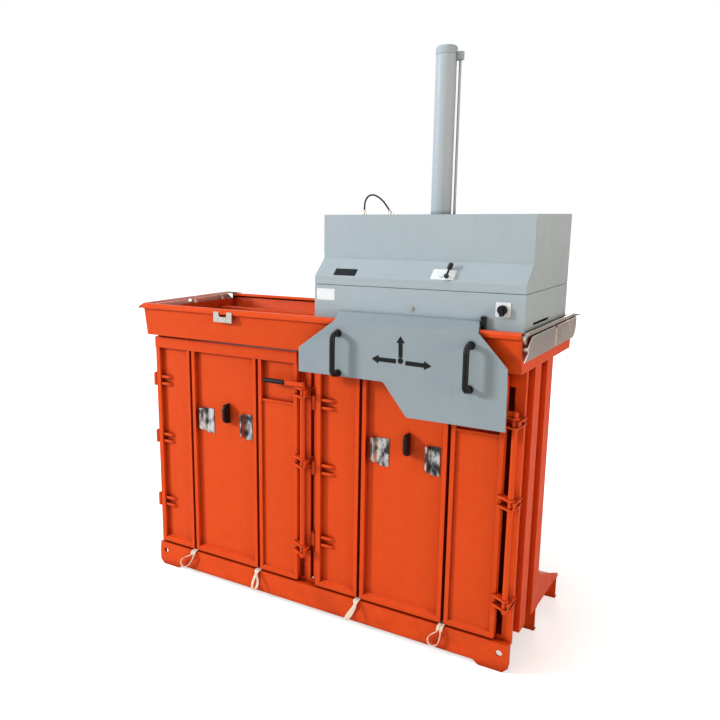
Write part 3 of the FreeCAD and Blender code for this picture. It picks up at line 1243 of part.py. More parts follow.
for side, x0 in (("left", LEFT_DOOR_X), ("right", RIGHT_DOOR_X)):
    nodes[side + "_door"] = door(x0)
    nodes[side + "_door_hinges"] = door_hinges(x0)
    nodes[side + "_rod_guides"] = rod_guides(x0)
    nodes[side + "_latch_rod"] = latch_rod(x0)
    nodes[side + "_lever_grip"] = lever_grip(x0)
    nodes[side + "_strap_hooks"] = strap_hooks(x0)
    nodes[side + "_strap_cutter"] = strap_cutter(x0)
for i, (x, lean, edge_on) in enumerate(zip(strap_xs, STRAP_LEAN, STRAP_EDGE_ON)):
    name = "strap_loop_%d" % (i + 1)
    nodes[name] = strap_loop(x, lean, edge_on, name)

os.makedirs("parts", exist_ok=True)
for name, shape in nodes.items():
    shape.exportStep("parts/%s.step" % name)
print(len(nodes), "nodes")
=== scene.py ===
import json
import math

import bpy
from mathutils import Matrix, Vector


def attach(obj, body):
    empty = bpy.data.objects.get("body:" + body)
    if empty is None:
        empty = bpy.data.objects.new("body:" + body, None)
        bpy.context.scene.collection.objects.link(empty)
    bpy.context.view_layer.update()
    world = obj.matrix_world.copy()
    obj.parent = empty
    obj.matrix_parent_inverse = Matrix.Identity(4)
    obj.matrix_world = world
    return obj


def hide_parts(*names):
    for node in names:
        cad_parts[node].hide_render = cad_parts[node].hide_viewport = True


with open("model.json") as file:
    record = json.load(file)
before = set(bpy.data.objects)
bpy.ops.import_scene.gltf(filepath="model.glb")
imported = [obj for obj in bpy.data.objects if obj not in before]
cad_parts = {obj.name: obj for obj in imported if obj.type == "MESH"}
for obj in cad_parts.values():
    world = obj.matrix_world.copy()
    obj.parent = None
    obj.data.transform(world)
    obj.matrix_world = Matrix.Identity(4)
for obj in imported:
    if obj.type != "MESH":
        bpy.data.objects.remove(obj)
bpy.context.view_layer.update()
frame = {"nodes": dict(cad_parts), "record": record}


def place_in_scene(name, data):
    """A new object in the scene's own collection."""
    thing = bpy.data.objects.new(name, data)
    bpy.context.scene.collection.objects.link(thing)
    return thing


# ---------------------------------------------------------------- camera
YAW, PITCH, ROLL = math.radians(33.43), math.radians(11.71), math.radians(-0.20)
EYE = (1.6376, -2.9524, 1.7303)
SENSOR_MM, LENS_MM = 36.0, 38.05
SHIFT_X, SHIFT_Y = 0.1014, 0.0188
FARTHEST = 100.0

forward = Vector((-math.sin(YAW) * math.cos(PITCH), math.cos(YAW) * math.cos(PITCH),
                  -math.sin(PITCH)))
level = Vector((math.cos(YAW), math.sin(YAW), 0))
upright = level.cross(forward)
right = level * math.cos(ROLL) + upright * math.sin(ROLL)
up = upright * math.cos(ROLL) - level * math.sin(ROLL)
turn = Matrix((right, up, -forward)).transposed().to_4x4()

camera_data = bpy.data.cameras.new("camera")
camera_data.sensor_width = SENSOR_MM
camera_data.lens = LENS_MM
camera_data.shift_x = SHIFT_X
camera_data.shift_y = SHIFT_Y
camera_data.clip_end = FARTHEST
camera = place_in_scene("camera", camera_data)
camera.matrix_world = Matrix.Translation(EYE) @ turn
bpy.context.scene.camera = camera

# ---------------------------------------------------------------- mesh helpers
# The rings of a slab from its foot, a little inside the face, to its chamfered front: the
# height and the inward step, both as shares of its thickness.
SLAB_RINGS = ((-0.3, 0.0), (0.6, 0.0), (1.0, 0.5))


def link(name, verts, faces, material, body, smooth=False):
    """A mesh piece that rides on a body and has one material."""
    mesh = bpy.data.meshes.new(name)
    mesh.from_pydata([tuple(v) for v in verts], [], faces)
    mesh.validate()
    mesh.materials.append(material)
    if smooth:
        mesh.polygons.foreach_set("use_smooth", [True] * len(mesh.polygons))
    mesh.update()
    piece = place_in_scene(name, mesh)
    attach(piece, body)
    return piece


def slab(outlines, centre, across, upward, thickness):
    """Thin plates from flat outlines, laid on a face and chamfered round the front."""
    normal = across.cross(upward)
    verts, faces = [], []
    for outline in outlines:
        first, count = len(verts), len(outline)
        middle = Vector((sum(p[0] for p in outline), sum(p[1] for p in outline))) / count
        for height, inward in SLAB_RINGS:
            for a, b in outline:
                arm = Vector((a, b)) - middle
                flat = middle + arm * (1 - inward * thickness / max(arm.length, thickness))
                verts.append(centre + across * flat.x + upward * flat.y
                             + normal * thickness * height)
        front = first + (len(SLAB_RINGS) - 1) * count
        for low in range(first, front, count):
            for k in range(count):
                after = (k + 1) % count
                faces.append((low + k, low + after, low + count + after, low + count + k))
        faces.append(tuple(range(front, front + count)))
        faces.append(tuple(range(first + count - 1, first - 1, -1)))
    return verts, faces


# ---------------------------------------------------------------- node helpers
EVEN = (1, 1, 1)
BEVEL_SAMPLES = 4
OCCLUSION_SAMPLES = 6
# A Mix node has sockets for every kind of value, and these are the ones for colours.
MIX_FACTOR, MIX_FIRST, MIX_SECOND, MIX_RESULT = 0, 6, 7, 2


def linear(red, green, blue):
    """A colour given in screen values from 0 to 255, as the shader needs it."""
    values = [c / 255 for c in (red, green, blue)]
    values = [v / 12.92 if v <= 0.04045 else ((v + 0.055) / 1.055) ** 2.4 for v in values]
    return (*values, 1.0)


class Finish:
    """A material built from nodes, on the object's own coordinates in metres."""

    def __init__(self, name, roughness=0.4, metallic=0.0):
        self.material = bpy.data.materials.new(name)
        self.material.use_nodes = True
        self.tree = self.material.node_tree
        self.shader = self.tree.nodes["Principled BSDF"]
        self.shader.inputs["Roughness"].default_value = roughness
        self.shader.inputs["Metallic"].default_value = metallic
        self.place = self.new("ShaderNodeTexCoord").outputs["Object"]

    def new(self, kind):
        return self.tree.nodes.new(kind)

    def join(self, source, target):
        """Links a socket to the target, or writes a constant on it."""
        if isinstance(source, bpy.types.NodeSocket):
            self.tree.links.new(source, target)
        else:
            target.default_value = source

    def stretched(self, factors):
        if factors == EVEN:
            return self.place
        node = self.new("ShaderNodeMapping")
        node.inputs["Scale"].default_value = factors
        self.join(self.place, node.inputs["Vector"])
        return node.outputs["Vector"]

    def noise(self, scale, detail=3.0, rough=0.5, stretch=EVEN):
        node = self.new("ShaderNodeTexNoise")
        node.inputs["Scale"].default_value = scale
        node.inputs["Detail"].default_value = detail
        node.inputs["Roughness"].default_value = rough
        self.join(self.stretched(stretch), node.inputs["Vector"])
        return node.outputs["Fac"]

    def cells(self, scale, out="Distance"):
        node = self.new("ShaderNodeTexVoronoi")
        node.inputs["Scale"].default_value = scale
        self.join(self.place, node.inputs["Vector"])
        return node.outputs[out]

    def waves(self, scale, direction, distortion):
        node = self.new("ShaderNodeTexWave")
        node.bands_direction = direction
        node.inputs["Scale"].default_value = scale
        node.inputs["Distortion"].default_value = distortion
        self.join(self.place, node.inputs["Vector"])
        return node.outputs["Fac"]

    def ramp(self, value, low, high, start=0.0, end=1.0):
        """Maps low to high onto start to end, and holds the ends."""
        node = self.new("ShaderNodeMapRange")
        self.join(value, node.inputs["Value"])
        node.inputs["From Min"].default_value = low
        node.inputs["From Max"].default_value = high
        node.inputs["To Min"].default_value = start
        node.inputs["To Max"].default_value = end
        return node.outputs["Result"]

    def patches(self, low, high, scale, detail, rough=0.5, stretch=EVEN):
        """A mask of soft patches: noise cut between two levels."""
        return self.ramp(self.noise(scale, detail, rough, stretch), low, high)

    def combine(self, kind, first, second):
        node = self.new("ShaderNodeMath")
        node.operation = kind
        node.use_clamp = True
        self.join(first, node.inputs[0])
        self.join(second, node.inputs[1])
        return node.outputs[0]

    def mix(self, factor, first, second):
        node = self.new("ShaderNodeMix")
        node.data_type = "RGBA"
        self.join(factor, node.inputs[MIX_FACTOR])
        self.join(first, node.inputs[MIX_FIRST])
        self.join(second, node.inputs[MIX_SECOND])
        return node.outputs[MIX_RESULT]

    def layered(self, base, *layers):
        """A base colour under layers, each given by its mask, its share and its colour."""
        for mask, share, colour in layers:
            base = self.mix(self.combine("MULTIPLY", mask, share), base, colour)
        return base

    def height(self):
        """The height above the object's own origin."""
        node = self.new("ShaderNodeSeparateXYZ")
        self.join(self.place, node.inputs[0])
        return node.outputs["Z"]

    def distance(self):
        """The distance from the object's own origin."""
        node = self.new("ShaderNodeVectorMath")
        node.operation = "LENGTH"
        self.join(self.place, node.inputs[0])
        return node.outputs["Value"]

    def rounded(self, radius):
        """The normal with its edges rounded."""
        node = self.new("ShaderNodeBevel")
        node.samples = BEVEL_SAMPLES
        node.inputs["Radius"].default_value = radius
        return node.outputs["Normal"]

    def edges(self, radius):
        """How near an edge the surface is, from its own normal against the rounded one."""
        geometry = self.new("ShaderNodeNewGeometry")
        dot = self.new("ShaderNodeVectorMath")
        dot.operation = "DOT_PRODUCT"
        self.join(self.rounded(radius), dot.inputs[0])
        self.join(geometry.outputs["True Normal"], dot.inputs[1])
        return self.ramp(dot.outputs["Value"], 0.98, 0.80)

    def crevice_painted_shade(self, reach):
        """How closed in the surface is, as the mask for painted shade: 0 in the open, 1 deep
        in a gap.
        """
        node = self.new("ShaderNodeAmbientOcclusion")
        node.samples = OCCLUSION_SAMPLES
        node.inputs["Distance"].default_value = reach
        return self.ramp(node.outputs["AO"], 0.84, 0.32)

    def bump(self, height, strength, distance, normal=None):
        node = self.new("ShaderNodeBump")
        node.inputs["Strength"].default_value = strength
        node.inputs["Distance"].default_value = distance
        self.join(height, node.inputs["Height"])
        if normal is not None:
            self.join(normal, node.inputs["Normal"])
        return node.outputs["Normal"]

    def done(self, **sockets):
        """Fills the shader's own sockets and gives the material."""
        for name, value in sockets.items():
            self.join(value, self.shader.inputs[name.replace("_", " ")])
        return self.material


# ---------------------------------------------------------------- materials
def coat(name, colour, worn, grime, gloss, sway=0.0015, gap=0.03):
    """Powder coat on sheet steel: orange peel, panels that aren't quite flat, rubbed edges
    that are lighter also as a painted highlight.

    sway is how far the panels sway, and gap how far the painted shade in crevices reaches.
    """
    f = Finish(name)
    deeper = tuple(0.93 * c for c in colour[:3]) + (1.0,)
    # A much darker tone, for the painted shade in crevices.
    painted_shade_colour = tuple(0.25 * c * c for c in colour[:3]) + (1.0,)
    clouds = f.patches(0.35, 0.65, scale=1.7, detail=2.0)
    mottle = f.patches(0.3, 0.7, scale=23.0, detail=5.0, rough=0.6)
    near_floor = f.ramp(f.height(), 0.30, 0.0)
    drops = f.patches(0.45, 0.75, scale=9.0, detail=6.0, rough=0.65)
    splashes = f.combine("MULTIPLY", near_floor, drops)
    streaks = f.patches(0.58, 0.78, scale=4.0, detail=4.0, rough=0.6, stretch=(9, 9, 0.7))
    scratches = f.patches(0.68, 0.72, scale=14.0, detail=3.0, rough=0.7, stretch=(1, 1, 16))
    # Edges lighter where rubbed: wear, and a painted highlight along the edges.
    rubbed_and_highlit_edges = f.combine("MULTIPLY", f.edges(0.0035),
                       f.patches(0.40, 0.62, scale=31.0, detail=4.0))
    # The last layer paints shade into crevices and gaps, darkest deep inside them.
    base = f.layered(colour, (clouds, 0.6, deeper), (mottle, 0.10, worn),
                     (splashes, 0.35, grime), (streaks, 0.08, grime),
                     (scratches, 0.10, worn), (rubbed_and_highlit_edges, 0.55, worn),
                     (f.crevice_painted_shade(gap), 0.88, painted_shade_colour))
    rough = f.ramp(f.noise(11.0, 4.0), 0.3, 0.7, gloss - 0.06, gloss + 0.08)
    panel = f.bump(f.noise(2.6, 1.0), 0.35, sway, f.rounded(0.0025))
    peel = f.bump(f.noise(420.0, 2.0), 0.12, 0.0004, panel)
    return f.done(Base_Color=base, Roughness=rough, Normal=peel, Specular_IOR_Level=0.12)


def brushed(name, colour, dirt, gloss, grain, stretch):
    """Bare sheet with a grain and handling marks."""
    f = Finish(name, metallic=1.0)
    lines = f.noise(grain, 3.0, 0.6, stretch)
    smudges = f.patches(0.45, 0.70, scale=7.0, detail=5.0, rough=0.6)
    base = f.mix(f.ramp(lines, 0.35, 0.65, 0.0, 0.35), colour, dirt)
    base = f.layered(base, (smudges, 0.35, dirt))
    rough = f.combine("ADD", f.ramp(lines, 0.3, 0.7, gloss - 0.05, gloss + 0.08),
                      f.combine("MULTIPLY", smudges, 0.12))
    fine = f.bump(lines, 0.10, 0.0002, f.rounded(0.0012))
    return f.done(Base_Color=base, Roughness=rough, Normal=fine, Anisotropic=0.4)


def plated(name, colour, dull, gloss):
    """Zinc or chrome plate: faint crystals, ripples and dull patches."""
    f = Finish(name, metallic=1.0)
    crystals = f.cells(160.0, out="Color")
    spots = f.patches(0.45, 0.7, scale=45.0, detail=5.0, rough=0.65)
    base = f.layered(colour, (spots, 0.5, dull))
    base = f.mix(f.ramp(crystals, 0.0, 1.0, 0.0, 0.10), base, dull)
    rough = f.ramp(spots, 0.0, 1.0, gloss, gloss + 0.18)
    ripple = f.bump(f.noise(90.0, 3.0), 0.15, 0.0004, f.rounded(0.0008))
    return f.done(Base_Color=base, Roughness=rough, Normal=ripple)


def painted_glint_plate(name, glint_colour, dark):
    """Bright-zinced plate with painted reflections of light and dark places, a painted
    highlight on its edges, and black rub marks.
    """
    f = Finish(name, metallic=1.0)
    # Painted reflections: soft patches between the light and the dark colour.
    painted_glint = f.patches(0.38, 0.62, scale=44.0, detail=2.0, stretch=(1, 1, 0.5))
    marks = f.patches(0.52, 0.66, scale=170.0, detail=3.0, rough=0.6)
    # Black rub marks, and a painted highlight on the edges.
    base = f.layered(f.mix(painted_glint, dark, glint_colour), (marks, 0.5, dark),
                     (f.edges(0.0012), 0.7, glint_colour))
    rough = f.ramp(painted_glint, 0.0, 1.0, 0.34, 0.15)
    ripple = f.bump(f.noise(70.0, 3.0), 0.25, 0.0006, f.rounded(0.0008))
    return f.done(Base_Color=base, Roughness=rough, Normal=ripple)


def moulded(name, colour, worn, gloss, grain=900.0, depth=0.00015):
    """Moulded plastic, rubber or film with a fine grain and handled edges."""
    f = Finish(name)
    handled = f.patches(0.4, 0.7, scale=35.0, detail=4.0, rough=0.6)
    base = f.layered(colour, (handled, 0.35, worn), (f.edges(0.0015), 0.35, worn))
    rough = f.ramp(handled, 0.0, 1.0, gloss, gloss - 0.12)
    skin = f.bump(f.noise(grain, 2.0), 0.35, depth, f.rounded(0.001))
    return f.done(Base_Color=base, Roughness=rough, Normal=skin, Specular_IOR_Level=0.22)


def cast(name, colour, dark):
    """Sand-cast aluminium with a rough skin."""
    f = Finish(name, metallic=1.0)
    grain = f.cells(260.0)
    base = f.mix(f.ramp(grain, 0.1, 0.6), dark, colour)
    rough = f.ramp(f.noise(60.0), 0.3, 0.7, 0.45, 0.65)
    skin = f.bump(grain, 0.4, 0.0006, f.rounded(0.001))
    return f.done(Base_Color=base, Roughness=rough, Normal=skin)


def woven(name, colour, shade):
    """Flat woven polyester strapping with two directions of yarn and a soft sheen."""
    f = Finish(name)
    weave = f.combine("MULTIPLY", f.waves(330.0, "Z", 1.2), f.waves(420.0, "Y", 0.8))
    soiled = f.patches(0.45, 0.75, scale=38.0, detail=4.0)
    base = f.mix(f.ramp(weave, 0.0, 0.7, 0.75, 0.0), colour, shade)
    base = f.layered(base, (soiled, 0.35, shade))
    rough = f.ramp(weave, 0.0, 1.0, 0.75, 0.5)
    return f.done(Base_Color=base, Roughness=rough, Normal=f.bump(weave, 0.5, 0.0004),
                  Sheen_Weight=0.3)


materials = {
    "orange_paint": coat("orange_paint", linear(231, 79, 25), linear(250, 120, 62),
                         linear(96, 44, 26), 0.36, gap=0.055),
    "grey_paint": coat("grey_paint", linear(172, 187, 194), linear(206, 214, 218),
                       linear(118, 120, 118), 0.42, sway=0.0008),
    "cylinder_paint": coat("cylinder_paint", linear(180, 192, 199), linear(212, 220, 225),
                           linear(120, 122, 122), 0.34, sway=0.0003),
    "stainless_steel": brushed("stainless_steel", linear(236, 222, 212),
                               linear(172, 158, 146), 0.30, 180.0, (0.06, 1, 1)),
    "zinc_plate": plated("zinc_plate", linear(212, 208, 198), linear(146, 142, 134), 0.26),
    "bright_steel": plated("bright_steel", linear(226, 226, 226), linear(150, 148, 146), 0.12),
    "black_plastic": moulded("black_plastic", linear(17, 17, 19), linear(48, 49, 51), 0.40),
    "white_plastic": moulded("white_plastic", linear(243, 250, 253), linear(212, 215, 214),
                             0.40),
    "black_rubber": moulded("black_rubber", linear(18, 18, 19), linear(46, 45, 44), 0.60,
                            grain=500.0),
    "tank_paint": coat("tank_paint", linear(74, 80, 85), linear(120, 126, 130),
                       linear(40, 38, 36), 0.45, sway=0.0006),
    "cast_aluminium": cast("cast_aluminium", linear(190, 190, 188), linear(122, 121, 119)),
    "strap_fabric": woven("strap_fabric", linear(255, 250, 238), linear(226, 210, 184)),
}
apron_paint = coat("apron_paint", linear(153, 168, 175), linear(190, 199, 204),
                   linear(104, 106, 104), 0.40, sway=0.0008)
hook_plate_painted_glints = painted_glint_plate("hook_plate_painted_glints", linear(228, 228, 227), linear(62, 64, 68))

# These nodes look unlike the others of their slot; the strap hooks carry painted reflections.
own_finish = {"apron": apron_paint, "apron_brackets": apron_paint,
              "left_strap_hooks": hook_plate_painted_glints, "right_strap_hooks": hook_plate_painted_glints}
slot_of = {s["node"]: s["material_slot"] for s in frame["record"]["subparts"]}
for node, piece in frame["nodes"].items():
    for slot in piece.material_slots:
        slot.material = own_finish.get(node, materials[slot_of[node]])

# ---------------------------------------------------------------- straps and hose
STRAP_WIDTH = 0.012
STRAP_THICK = 0.0020
STRAP_SECTION = [(share_x * STRAP_WIDTH, share_y * STRAP_THICK) for share_x, share_y in (
    (0.5, 0.275), (0.43, 0.5), (-0.43, 0.5), (-0.5, 0.275),
    (-0.5, -0.275), (-0.43, -0.5), (0.43, -0.5), (0.5, -0.275))]
STRAP_STEP = 0.014          # from a strap's way out to its way back, side by side on the sill
OVER_SILL = ((-0.25, 0.121), (-0.2765, 0.121), (-0.304, 0.1195))
LOOP_START, LOOP_MIDDLE, LOOP_END = 3, 8, 12      # points of a route
FLAT_FOR, TURNED_AFTER = 0.006, 0.028       # how far below the sill's top the band turns


def route(x, loop):
    """A strap's way: out over the sill, round its loop and back beside itself."""
    return ([(x, y, z) for y, z in OVER_SILL] + loop
            + [(round(x + STRAP_STEP, 4), y, z) for y, z in reversed(OVER_SILL)])


ROUTES = {
    "strap_loop_1": route(-0.6725, [
        (-0.6701, -0.31, 0.1022), (-0.6946, -0.31, 0.0913), (-0.7177, -0.31, 0.0788),
        (-0.7383, -0.31, 0.0635), (-0.7457, -0.31, 0.0416), (-0.7305, -0.31, 0.0244),
        (-0.7078, -0.31, 0.029), (-0.6901, -0.31, 0.0475), (-0.6748, -0.31, 0.0688),
        (-0.6609, -0.31, 0.0917)]),
    "strap_loop_2": route(-0.291, [
        (-0.284, -0.3031, 0.0956), (-0.284, -0.2982, 0.0797), (-0.284, -0.2953, 0.0642),
        (-0.284, -0.2961, 0.0494), (-0.284, -0.3113, 0.032), (-0.284, -0.3338, 0.0365),
        (-0.284, -0.3412, 0.0584), (-0.284, -0.3362, 0.0723), (-0.284, -0.3276, 0.0856),
        (-0.284, -0.3169, 0.0984)]),
    "strap_loop_3": route(0.2275, [
        (0.2345, -0.3032, 0.0955), (0.2269, -0.2987, 0.0786), (0.2193, -0.2964, 0.0623),
        (0.2117, -0.2977, 0.0467), (0.2029, -0.3128, 0.0317), (0.2029, -0.3353, 0.0368),
        (0.2117, -0.3426, 0.0568), (0.2193, -0.3371, 0.0714), (0.2269, -0.328, 0.0852),
        (0.2345, -0.3168, 0.0985)]),
    "strap_loop_4": route(0.609, [
        (0.6099, -0.31, 0.1005), (0.594, -0.31, 0.0889), (0.58, -0.31, 0.0763),
        (0.5691, -0.31, 0.0618), (0.5691, -0.31, 0.0387), (0.589, -0.31, 0.0272),
        (0.609, -0.31, 0.0388), (0.6161, -0.31, 0.0555), (0.62, -0.31, 0.0739),
        (0.6221, -0.31, 0.0935)]),
}
HOSE_RADIUS = 0.0035
HOSE_ROUTE = [(0.2398, -0.0717, 1.7504), (0.220, -0.071, 1.778), (0.194, -0.069, 1.801),
              (0.165, -0.067, 1.815), (0.139, -0.065, 1.811), (0.123, -0.063, 1.790),
              (0.120, -0.062, 1.770), (0.120, -0.062, 1.753)]


def spline_curve(name, points, radius=0.0):
    """A curve of one open NURBS spline through the route."""
    data = bpy.data.curves.new(name, "CURVE")
    data.dimensions = "3D"
    data.resolution_u = 12
    data.bevel_depth = radius
    data.bevel_resolution = 4
    spline = data.splines.new("NURBS")
    spline.points.add(len(points) - 1)
    for target, point in zip(spline.points, points):
        target.co = (*point, 1.0)
    spline.order_u = 3
    spline.use_endpoint_u = True
    return data


def centre_line(name, points):
    """Points read from the route's own spline."""
    data = spline_curve(name, points)
    carrier = bpy.data.objects.new(name, data)
    mesh = bpy.data.meshes.new_from_object(carrier)
    line = [v.co.copy() for v in mesh.vertices]
    bpy.data.meshes.remove(mesh)
    bpy.data.objects.remove(carrier)
    bpy.data.curves.remove(data)
    return line


def band(name, node, points):
    """A flat woven strap: flat on the sill at both ends, and square to its loop in between."""
    line = centre_line(name + "_line", points)
    top = max(p.z for p in line)
    start, middle, end = (Vector(points[k]) for k in (LOOP_START, LOOP_MIDDLE, LOOP_END))
    plane = (middle - start).cross(end - middle).normalized()
    corners = len(STRAP_SECTION)
    verts, faces = [], []
    before = None
    for k, point in enumerate(line):
        ahead = (line[min(k + 1, len(line) - 1)] - line[max(k - 1, 0)]).normalized()
        turned = (top - FLAT_FOR - point.z) / (TURNED_AFTER - FLAT_FOR)
        turned = min(1.0, max(0.0, turned))
        turned = turned * turned * (3 - 2 * turned)
        loop = plane if before is None or plane.dot(before) >= 0 else -plane
        wide = Vector((1, 0, 0)).lerp(loop, turned)
        if before is not None and wide.dot(before) < 0:
            wide = -wide
        wide = (wide - ahead * wide.dot(ahead)).normalized()
        before = wide
        thin = ahead.cross(wide)
        verts += [point + wide * a + thin * b for a, b in STRAP_SECTION]
        if k:
            low, high = (k - 1) * corners, k * corners
            faces += [(low + i, low + (i + 1) % corners, high + (i + 1) % corners, high + i)
                      for i in range(corners)]
    faces.append(tuple(range(corners - 1, -1, -1)))
    faces.append(tuple(range(len(verts) - corners, len(verts))))
    piece = link(name, verts, faces, materials["strap_fabric"], "frame", True)
    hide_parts(node)
    length = sum((b - a).length for a, b in zip(line, line[1:]))
    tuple(points[0])
    [tuple(p) for p in line]


for number, (node, points) in enumerate(ROUTES.items(), 1):
    band("strap_band_%d" % number, node, points)

hose_data = spline_curve("control_hose_piece", HOSE_ROUTE, HOSE_RADIUS)
hose_data.materials.append(materials["black_rubber"])
hose = place_in_scene("control_hose_piece", hose_data)
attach(hose, "press")
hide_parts("control_hose")

# ---------------------------------------------------------------- plain signs and plates
EAST, UPWARD = Vector((1, 0, 0)), Vector((0, 0, 1))
FILM_THICK, PLATE_THICK, LABEL_THICK = 0.0004, 0.0010, 0.0003

# The arrows' middle on the apron, and from there each arrow's tail, tip, head length and half
# the width of its head.
ARROWS_CENTRE = Vector((0.449, -0.380, 1.194))
ARROWS = (
    ((0.0, 0.014), (-0.002, 0.096), 0.026, 0.018),
    ((-0.018, -0.001), (-0.121, 0.0), 0.030, 0.0175),
    ((0.020, -0.004), (0.125, -0.006), 0.030, 0.0175),
)
SHAFT_HALF = 0.0085
DOT_RADIUS, DOT_RISE, DOT_CORNERS = 0.0115, 0.002, 24

PLATE_CENTRE = Vector((0.152, -0.2762, 1.5095))
PLATE_UP = Vector((0, 0.073, 0.068)).normalized()      # up the head's sloped front
PLATE_WIDTH, PLATE_HEIGHT, PLATE_CORNER = 0.098, 0.036, 0.003
LABEL_CENTRE = Vector((0.0720, -0.295, 1.4195))
LABEL_WIDTH, LABEL_HEIGHT, LABEL_CORNER = 0.083, 0.046, 0.002
CORNER_STEPS = 4

black_film = moulded("black_film", linear(13, 13, 15), linear(30, 31, 32), 0.5,
                     grain=1200.0, depth=0.00005)
white_film = moulded("white_film", linear(244, 252, 255), linear(226, 233, 236), 0.45,
                     grain=1200.0, depth=0.00005)
dark_plate = brushed("dark_plate", linear(38, 41, 45), linear(24, 25, 27), 0.42, 300.0,
                     (0.1, 1, 1))


def arrow(tail, tip, head_length, head_half):
    """Outlines of a plain arrow's shaft and head."""
    tail, tip = Vector(tail), Vector(tip)
    along = (tip - tail).normalized()
    side = Vector((-along.y, along.x))
    neck = tip - along * head_length
    shaft = side * SHAFT_HALF
    return [[tail - shaft, neck - shaft, neck + shaft, tail + shaft],
            [neck - side * head_half, tip, neck + side * head_half]]


def anticlockwise(outline):
    """The outline, turned round if it runs clockwise."""
    area_twice = sum(a[0] * b[1] - b[0] * a[1]
                     for a, b in zip(outline, outline[1:] + outline[:1]))
    return outline if area_twice > 0 else outline[::-1]


def rectangle(width, height, corner):
    """A centred rectangle with rounded corners."""
    points = []
    for side_x, side_y, start in ((1, 1, 0), (-1, 1, 90), (-1, -1, 180), (1, -1, 270)):
        for step in range(CORNER_STEPS + 1):
            angle = math.radians(start + step * 90 / CORNER_STEPS)
            points.append((side_x * (width / 2 - corner) + corner * math.cos(angle),
                           side_y * (height / 2 - corner) + corner * math.sin(angle)))
    return points


outlines = [anticlockwise(outline) for shape in ARROWS for outline in arrow(*shape)]
angles = [2 * math.pi * k / DOT_CORNERS for k in range(DOT_CORNERS)]
outlines.append([(DOT_RADIUS * math.cos(a), DOT_RADIUS * math.sin(a) + DOT_RISE)
                 for a in angles])
verts, faces = slab(outlines, ARROWS_CENTRE, EAST, UPWARD, FILM_THICK)
link("direction_arrows", verts, faces, black_film, "apron")

verts, faces = slab([rectangle(PLATE_WIDTH, PLATE_HEIGHT, PLATE_CORNER)], PLATE_CENTRE, EAST,
                    PLATE_UP, PLATE_THICK)
link("bare_plate", verts, faces, dark_plate, "press")
verts, faces = slab([rectangle(LABEL_WIDTH, LABEL_HEIGHT, LABEL_CORNER)], LABEL_CENTRE, EAST,
                    UPWARD, LABEL_THICK)
link("bare_label", verts, faces, white_film, "press")

# ---------------------------------------------------------------- light
# Each lamp's name, place, target, diameter, watts and colour.
WHITE, WARM = (1.0, 1.0, 1.0), (1.0, 0.82, 0.64)
LAMPS = (
    ("key", (-7.7, -5.75, 4.0), (0.1, -0.3, 0.9), 1.8, 715, WHITE),
    ("fill", (5.6, -1.6, 2.0), (0.9, 0.0, 1.0), 2.6, 142, WARM),
    ("front", (1.5, -5.5, 2.5), (0.4, -0.3, 1.0), 3.0, 22, WHITE),
    ("overhead", (-0.4, -1.2, 5.2), (0.0, 0.0, 1.2), 2.6, 58, WHITE),
    ("back", (-1.5, 6.5, 3.2), (0.0, 0.3, 1.0), 3.0, 110, WHITE),
)
SURROUND_COLOUR, SURROUND_STRENGTH = (0.93, 0.95, 1.0), 0.17

for name, place, target, diameter, watts, colour in LAMPS:
    lamp_data = bpy.data.lights.new(name, "AREA")
    lamp_data.shape = "DISK"
    lamp_data.size = diameter
    lamp_data.energy = watts
    lamp_data.color = colour
    lamp = place_in_scene(name, lamp_data)
    lamp.location = place
    lamp.rotation_euler = (Vector(target) - Vector(place)).to_track_quat("-Z", "Y").to_euler()

world = bpy.data.worlds.new("studio")
bpy.context.scene.world = world
world.use_nodes = True
sky = world.node_tree


def sky_node(kind, *sources):
    """A world node with its first inputs linked to the sources."""
    node = sky.nodes.new(kind)
    for source, target in zip(sources, node.inputs):
        sky.links.new(source, target)
    return node


def greater(first, second):
    node = sky_node("ShaderNodeMath", first, second)
    node.operation = "MAXIMUM"
    return node.outputs[0]


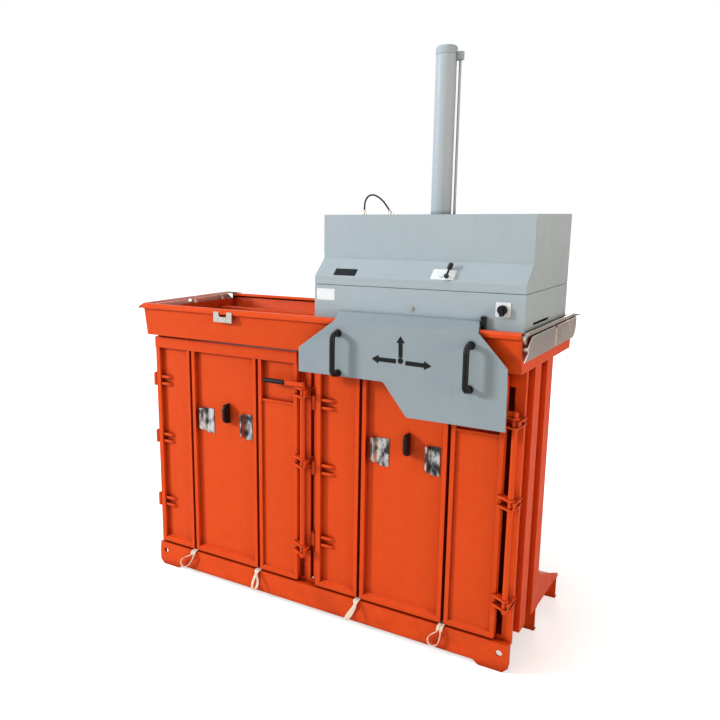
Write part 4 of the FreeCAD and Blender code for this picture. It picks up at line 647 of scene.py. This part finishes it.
surround = sky.nodes["Background"]
surround.inputs["Color"].default_value = (*SURROUND_COLOUR, 1.0)
surround.inputs["Strength"].default_value = SURROUND_STRENGTH
white = sky_node("ShaderNodeBackground")
white.inputs["Color"].default_value = (*WHITE, 1.0)
white.inputs["Strength"].default_value = 1.0
ray = sky_node("ShaderNodeLightPath").outputs
seen = greater(greater(ray["Is Camera Ray"], ray["Is Glossy Ray"]),
               ray["Is Transmission Ray"])
blend = sky_node("ShaderNodeMixShader", seen, surround.outputs[0], white.outputs[0])
sky.links.new(blend.outputs[0], sky.nodes["World Output"].inputs["Surface"])

# ---------------------------------------------------------------- floor
# The camera sees the floor glow, so that it fades into the white behind it and still keeps
# the shadow round the foot: from GLOW_FOOT near the object up to GLOW_AWAY further out.
FLOOR_REACH = 30.0
GLOW_START, GLOW_END = 0.8, 2.1
GLOW_FOOT, GLOW_AWAY = 0.52, 1.0

f = Finish("floor_finish", roughness=0.9)
pale = f.mix(f.patches(0.3, 0.7, scale=0.8, detail=3.0), linear(238, 238, 237),
             linear(232, 232, 231))
floor_finish = f.done(Base_Color=pale, Specular_IOR_Level=0.1)
camera_ray = f.new("ShaderNodeLightPath").outputs["Is Camera Ray"]
fade = f.ramp(f.distance(), GLOW_START, GLOW_END, GLOW_FOOT, GLOW_AWAY)
glow = f.new("ShaderNodeEmission")
f.join(f.combine("MULTIPLY", camera_ray, fade), glow.inputs["Strength"])
add = f.new("ShaderNodeAddShader")
f.join(f.shader.outputs[0], add.inputs[0])
f.join(glow.outputs[0], add.inputs[1])
f.join(add.outputs[0], f.tree.nodes["Material Output"].inputs["Surface"])

floor_mesh = bpy.data.meshes.new("floor")
floor_mesh.from_pydata([(-FLOOR_REACH, -FLOOR_REACH, 0), (FLOOR_REACH, -FLOOR_REACH, 0),
                        (FLOOR_REACH, FLOOR_REACH, 0), (-FLOOR_REACH, FLOOR_REACH, 0)],
                       [], [(0, 1, 2, 3)])
floor_mesh.materials.append(floor_finish)
floor = place_in_scene("floor", floor_mesh)

bpy.context.scene.view_settings.view_transform = "Standard"
